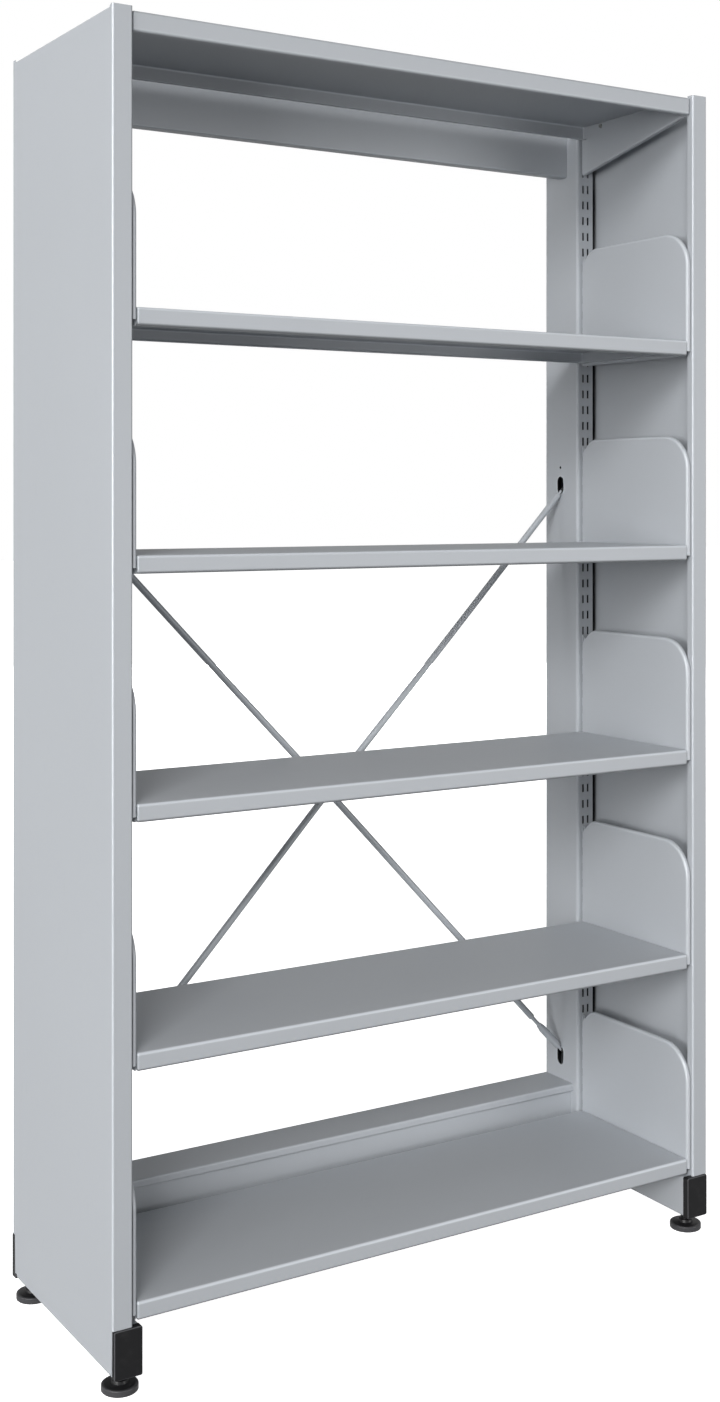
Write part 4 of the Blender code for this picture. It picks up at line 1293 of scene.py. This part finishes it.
@dataclass(frozen=True)
class CrossBraces:
    """Two crossed rods, hooked into oblong holes of the uprights, each with a sleeve at its foot."""

    shop: Workshop
    low: float = 206.5 * MM
    rise: float = 1024 * MM
    offset: float = 2.5 * MM
    hole: float = 32 * MM
    hole_width: float = 18 * MM
    rod: float = 11 * MM
    end_gap: float = 3.6 * MM
    stud: float = 7 * MM
    stud_show: float = 24 * MM
    shoulder: float = 1.25 * MM
    sleeve: float = 13.4 * MM
    sleeve_length: float = 62 * MM
    sleeve_edge: float = 1 * MM
    taper: float = 8 * MM
    taper_end: float = 10.4 * MM
    waist: float = 10 * MM
    pin: float = 5 * MM
    pin_reach: float = 8 * MM
    pin_hook: float = 13 * MM
    wall: float = 2 * MM
    bow: float = 5.9 * MM
    bow_span: float = 240 * MM
    rod_points: int = 48
    rim: float = 1.1 * MM
    rim_rise: float = 0.66 * MM

    def build(self) -> None:
        """Makes the rods, the sleeves and the rims of the holes."""
        for name, side in (("rising", Side.RIGHT), ("falling", Side.LEFT)):
            self.brace(name, side)
        for side in Side:
            self.rims(side)

    @property
    def spot(self) -> tuple[float, float]:
        """The X and Y of the right holes: on the upright's web, a little behind its middle."""
        low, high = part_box("upright_right")
        return low.x, (low.y + high.y) / 2 + self.offset

    def tube(self, blank: Blank, path: Array, radius: Array | float) -> None:
        """Carries a circle along a path that lies nearly in a plane across Y, and closes both ends.

        At each point the circle lies across the path's direction, from Y and from the direction's cross
        product with Y.

        Args:
            blank: The piece in the making.
            path: The path's points.
            radius: The circle's radius at all points or at each.
        """
        along = np.gradient(path, axis=0)
        along /= np.linalg.norm(along, axis=1, keepdims=True)
        across = np.cross(along, (0, 1, 0))
        across /= np.linalg.norm(across, axis=1, keepdims=True)
        up = np.cross(across, along)
        turn = np.linspace(0, 2 * math.pi, TURN_STEPS // 2, endpoint=False)[:, None, None]
        size = np.broadcast_to(radius, len(path))[None, :, None]
        points = path + size * (across * np.cos(turn) + up * np.sin(turn))
        blank.grid(points, wrap_rows=True)
        blank.outline(points[:, 0])
        blank.outline(points[:, -1])

    def hooked_pin(self, blank: Blank, start: Array, along: Array, turn: float) -> None:
        """Adds the pin that passes a hole and turns up or down behind the web, by a curve of second degree.

        Args:
            blank: The piece in the making.
            start: The end of the rod or sleeve.
            along: The unit vector from there to the hole.
            turn: 1 for a pin that turns up, and -1 for one that turns down.
        """
        upright = np.array((0, 0, turn))
        lean = self.pin / 3
        behind = start + along * (2 * self.end_gap + self.pin_reach + self.wall)
        corner = behind + upright * self.pin / 2 + along * lean
        middle = corner - upright * lean
        tip = corner + upright * self.pin_hook
        share = np.linspace(0, 1, BEND_STEPS + 1)[:, None]
        curve = (1 - share) ** 2 * behind + 2 * share * (1 - share) * middle + share**2 * corner
        path = np.concatenate(((start - along * self.end_gap,), curve, (tip,)))
        self.tube(blank, path, self.pin / 2)

    def brace(self, name: str, side: Side) -> None:
        """Makes one rod and its sleeve.

        The rod is a circle along a straight line that bows aside by a bell curve at the crossing, so that
        the rods pass each other.

        Args:
            name: The rod's word in the names of nodes.
            side: The end of the rack that the rod's top is hooked into.
        """
        face, depth = self.spot
        slant = math.atan2(self.rise - self.hole, 2 * face)
        lift = self.pin / 2 / math.cos(slant) + GAP
        top = np.array((face, depth, self.low + self.rise - self.hole / 2 + lift))
        foot = np.array((-face, depth, self.low + self.hole / 2 - lift))
        along = (top - foot) / np.linalg.norm(top - foot)
        rod_top = top - along * self.end_gap * 2
        sleeve_foot = foot + along * self.end_gap * 2
        sleeve_top = sleeve_foot + along * self.sleeve_length
        start = sleeve_top + along * self.stud_show
        share = np.linspace(0, 1, self.rod_points)[:, None]
        line = start + (rod_top - start) * share
        distance = np.linalg.norm(line - (top + foot) / 2, axis=1)
        line[:, 1] += side.value * self.bow * np.exp(-((distance / self.bow_span) ** 2))
        stud = (sleeve_top - along * self.taper, start - along * self.shoulder)
        radius = np.concatenate(((self.stud, self.stud), np.full(self.rod_points, self.rod))) / 2
        blank = Blank(f"brace_rod_{name}_drawn", side)
        self.tube(blank, np.concatenate((stud, line)), radius)
        self.hooked_pin(blank, rod_top, along, -1)
        self.shop.settle(blank, "frame", "frame_coat", f"brace_rod_{name}")

        half = np.array((0, self.taper, self.taper_end))
        places = np.concatenate((half, self.sleeve_length - half[::-1]))
        widths = np.array((self.waist, self.sleeve - self.sleeve_edge, self.sleeve))
        blank = Blank(f"brace_sleeve_{name}_turned", side)
        self.tube(blank, sleeve_foot + along * places[:, None], np.concatenate((widths, widths[::-1])) / 2)
        self.hooked_pin(blank, sleeve_foot, -along, 1)
        self.shop.settle(blank, "frame", "frame_coat", f"brace_sleeve_{name}")

    def rims(self, side: Side) -> None:
        """Makes the raised rims of an upright's two oblong holes: half a circle carried round each oblong.

        Args:
            side: The side of the upright.
        """
        face, depth = self.spot
        radius = self.hole_width / 2
        straight = self.hole / 2 - radius
        turn = np.radians(np.linspace(0, 180, BEND_STEPS + 1))
        spokes = np.concatenate([arc((0, 0), 1, start, start + 180, ROUND_STEPS) for start in (0, 180)])
        lift = np.repeat((straight, -straight), ROUND_STEPS + 1)
        reach = radius + self.rim + self.rim * np.cos(turn)
        blank = Blank(f"brace_hole_rims_{side.label}", side)
        for level in (self.low, self.low + self.rise):
            middle = np.column_stack((np.full(len(lift), depth), level + lift))
            ring = middle[:, None] + spokes[:, None] * reach[:, None]
            # The raised rims are painted a little lighter as a highlight, through a bend value of 1.
            blank.grid(Plane.YZ.place(ring, face - self.rim_rise * np.sin(turn)), 1.0, wrap_rows=True)
            blank.grid(Plane.YZ.place(ring[:, [0, -1]], face), 0.0, wrap_rows=True)
        self.shop.settle(blank, "frame", "frame_coat")


@dataclass(frozen=True)
class SoftBox:
    """A square soft light that faces the middle of the rack, placed by its bearing from there."""

    name: str
    azimuth: float
    elevation: float
    size: float
    power: float
    distance: float = 10.0
    target: Colour = (0.0, 0.0, 0.9)
    gloss: bool = True

    def hang(self) -> None:
        """Adds the light: azimuth 0 is in front of the rack, and a negative one lies to its left."""
        azimuth = math.radians(self.azimuth)
        elevation = math.radians(self.elevation)
        level = math.cos(elevation)
        bearing = Vector((math.sin(azimuth) * level, -math.cos(azimuth) * level, math.sin(elevation)))
        data = bpy.data.lights.new(self.name, "AREA")
        data.size = self.size
        data.energy = self.power
        lamp = bpy.data.objects.new(self.name, data)
        lamp.location = Vector(self.target) + self.distance * bearing
        lamp.rotation_euler = bearing.to_track_quat("Z", "Y").to_euler()
        lamp.visible_glossy = self.gloss
        bpy.context.scene.collection.objects.link(lamp)


LIGHTS = (SoftBox("key_light", -40, 28, 8.5, 3840, 25.0), SoftBox("low_light", -60, 3, 3.4, 460),
          SoftBox("high_light", -75, 40, 8.5, 370, 25.0), SoftBox("side_light", -90, 8, 3.4, 310),
          SoftBox("right_light", 34, 2, 4.4, 245), SoftBox("rear_light", 150, 1, 3.4, 480, gloss=False))


@dataclass(frozen=True)
class Studio:
    """A white room: floor, soft lights, surrounding light and the camera."""

    floor_half: float = 30.0
    floor_colour: Colour = (0.9, 0.9, 0.9)
    floor_glow: float = 0.97
    lens: float = 45.14
    turn: float = 31.554
    eye: Colour = (-1.4771, -2.3617, 1.2073)
    shift: float = -0.1446
    sky: float = 0.12
    sky_gloss: float = 0.44
    ground_gloss: float = 0.5

    def build(self) -> None:
        """Sets up the room."""
        self.floor()
        self.world()
        for light in LIGHTS:
            light.hang()
        self.camera()

    def floor(self) -> None:
        """Lays the pale floor, a flat grid that shows almost no shadow."""
        line = np.array((-self.floor_half, self.floor_half))
        corners = np.stack(np.meshgrid(line, line, indexing="ij"), axis=-1)
        blank = Blank("floor")
        blank.grid(Plane.XY.place(corners, 0.0))
        piece = blank.build()
        material, sheet = new_material("floor_white")
        matt = sheet.node("ShaderNodeBsdfDiffuse", {}, {"Color": (*self.floor_colour, 1.0)})
        glow = sheet.node("ShaderNodeEmission", {}, {"Color": WHITE, "Strength": self.floor_glow})
        both = sheet.node("ShaderNodeAddShader", {}, {0: matt, 1: glow})
        sheet.node("ShaderNodeOutputMaterial", {}, {"Surface": both})
        piece.data.materials.append(material)
        piece.visible_diffuse = False
        piece.visible_glossy = False
        piece.visible_shadow = False

    def world(self) -> None:
        """Surrounds the rack with light and shows white behind it.

        Scattered rays meet a dim sky over a dark ground, and mirror-like ones a brighter sky and ground,
        as over a white floor.
        """
        world = bpy.data.worlds.new("white_room")
        world.use_nodes = True
        world.cycles.sampling_method = "NONE"
        bpy.context.scene.world = world
        sheet = ShaderSheet(world.node_tree)
        seen = sheet.node("ShaderNodeLightPath", output="Is Camera Ray")
        glossy = sheet.node("ShaderNodeLightPath", output="Is Glossy Ray")
        height = sheet.axis(sheet.node("ShaderNodeTexCoord", output="Generated"), "Z")
        sky = self.sky + glossy * (self.sky_gloss - self.sky)
        ground = glossy * self.ground_gloss
        fill = sky + height.math("LESS_THAN", 0.0) * (ground - sky)
        light = sheet.node("ShaderNodeBackground", {}, {"Color": WHITE, "Strength": fill})
        white = sheet.node("ShaderNodeBackground", {}, {"Color": WHITE, "Strength": 1.0})
        both = sheet.node("ShaderNodeMixShader", {}, {0: seen, 1: light, 2: white})
        sheet.node("ShaderNodeOutputWorld", {}, {"Surface": both})

    def camera(self) -> None:
        """Sets up the level camera, with a vertical shift, and plain colours."""
        data = bpy.data.cameras.new("camera")
        data.lens = self.lens
        data.shift_y = self.shift
        camera = bpy.data.objects.new("camera", data)
        camera.location = self.eye
        camera.rotation_euler = (math.pi / 2, 0, -math.radians(self.turn))
        scene = bpy.context.scene
        scene.collection.objects.link(camera)
        scene.camera = camera
        scene.view_settings.view_transform = "Standard"


def main() -> None:
    """Builds the rack piece by piece, then the room."""
    logging.basicConfig(level=logging.INFO, format="%(message)s")
    shop = Workshop()
    shelves = ("base_shelf", "shelf_1", "shelf_2", "shelf_3", "shelf_4")
    parts = [EndFrame(shop, side) for side in Side]
    parts += [LevellingFoot(shop, end, side) for end in End for side in Side]
    parts += [ShelfUnit(shop, name) for name in shelves]
    parts += [CanopyUnit(shop), RearRails(shop), CrossBraces(shop)]
    for part in parts:
        part.build()
    Studio().build()


if __name__ == "__main__":
    main()
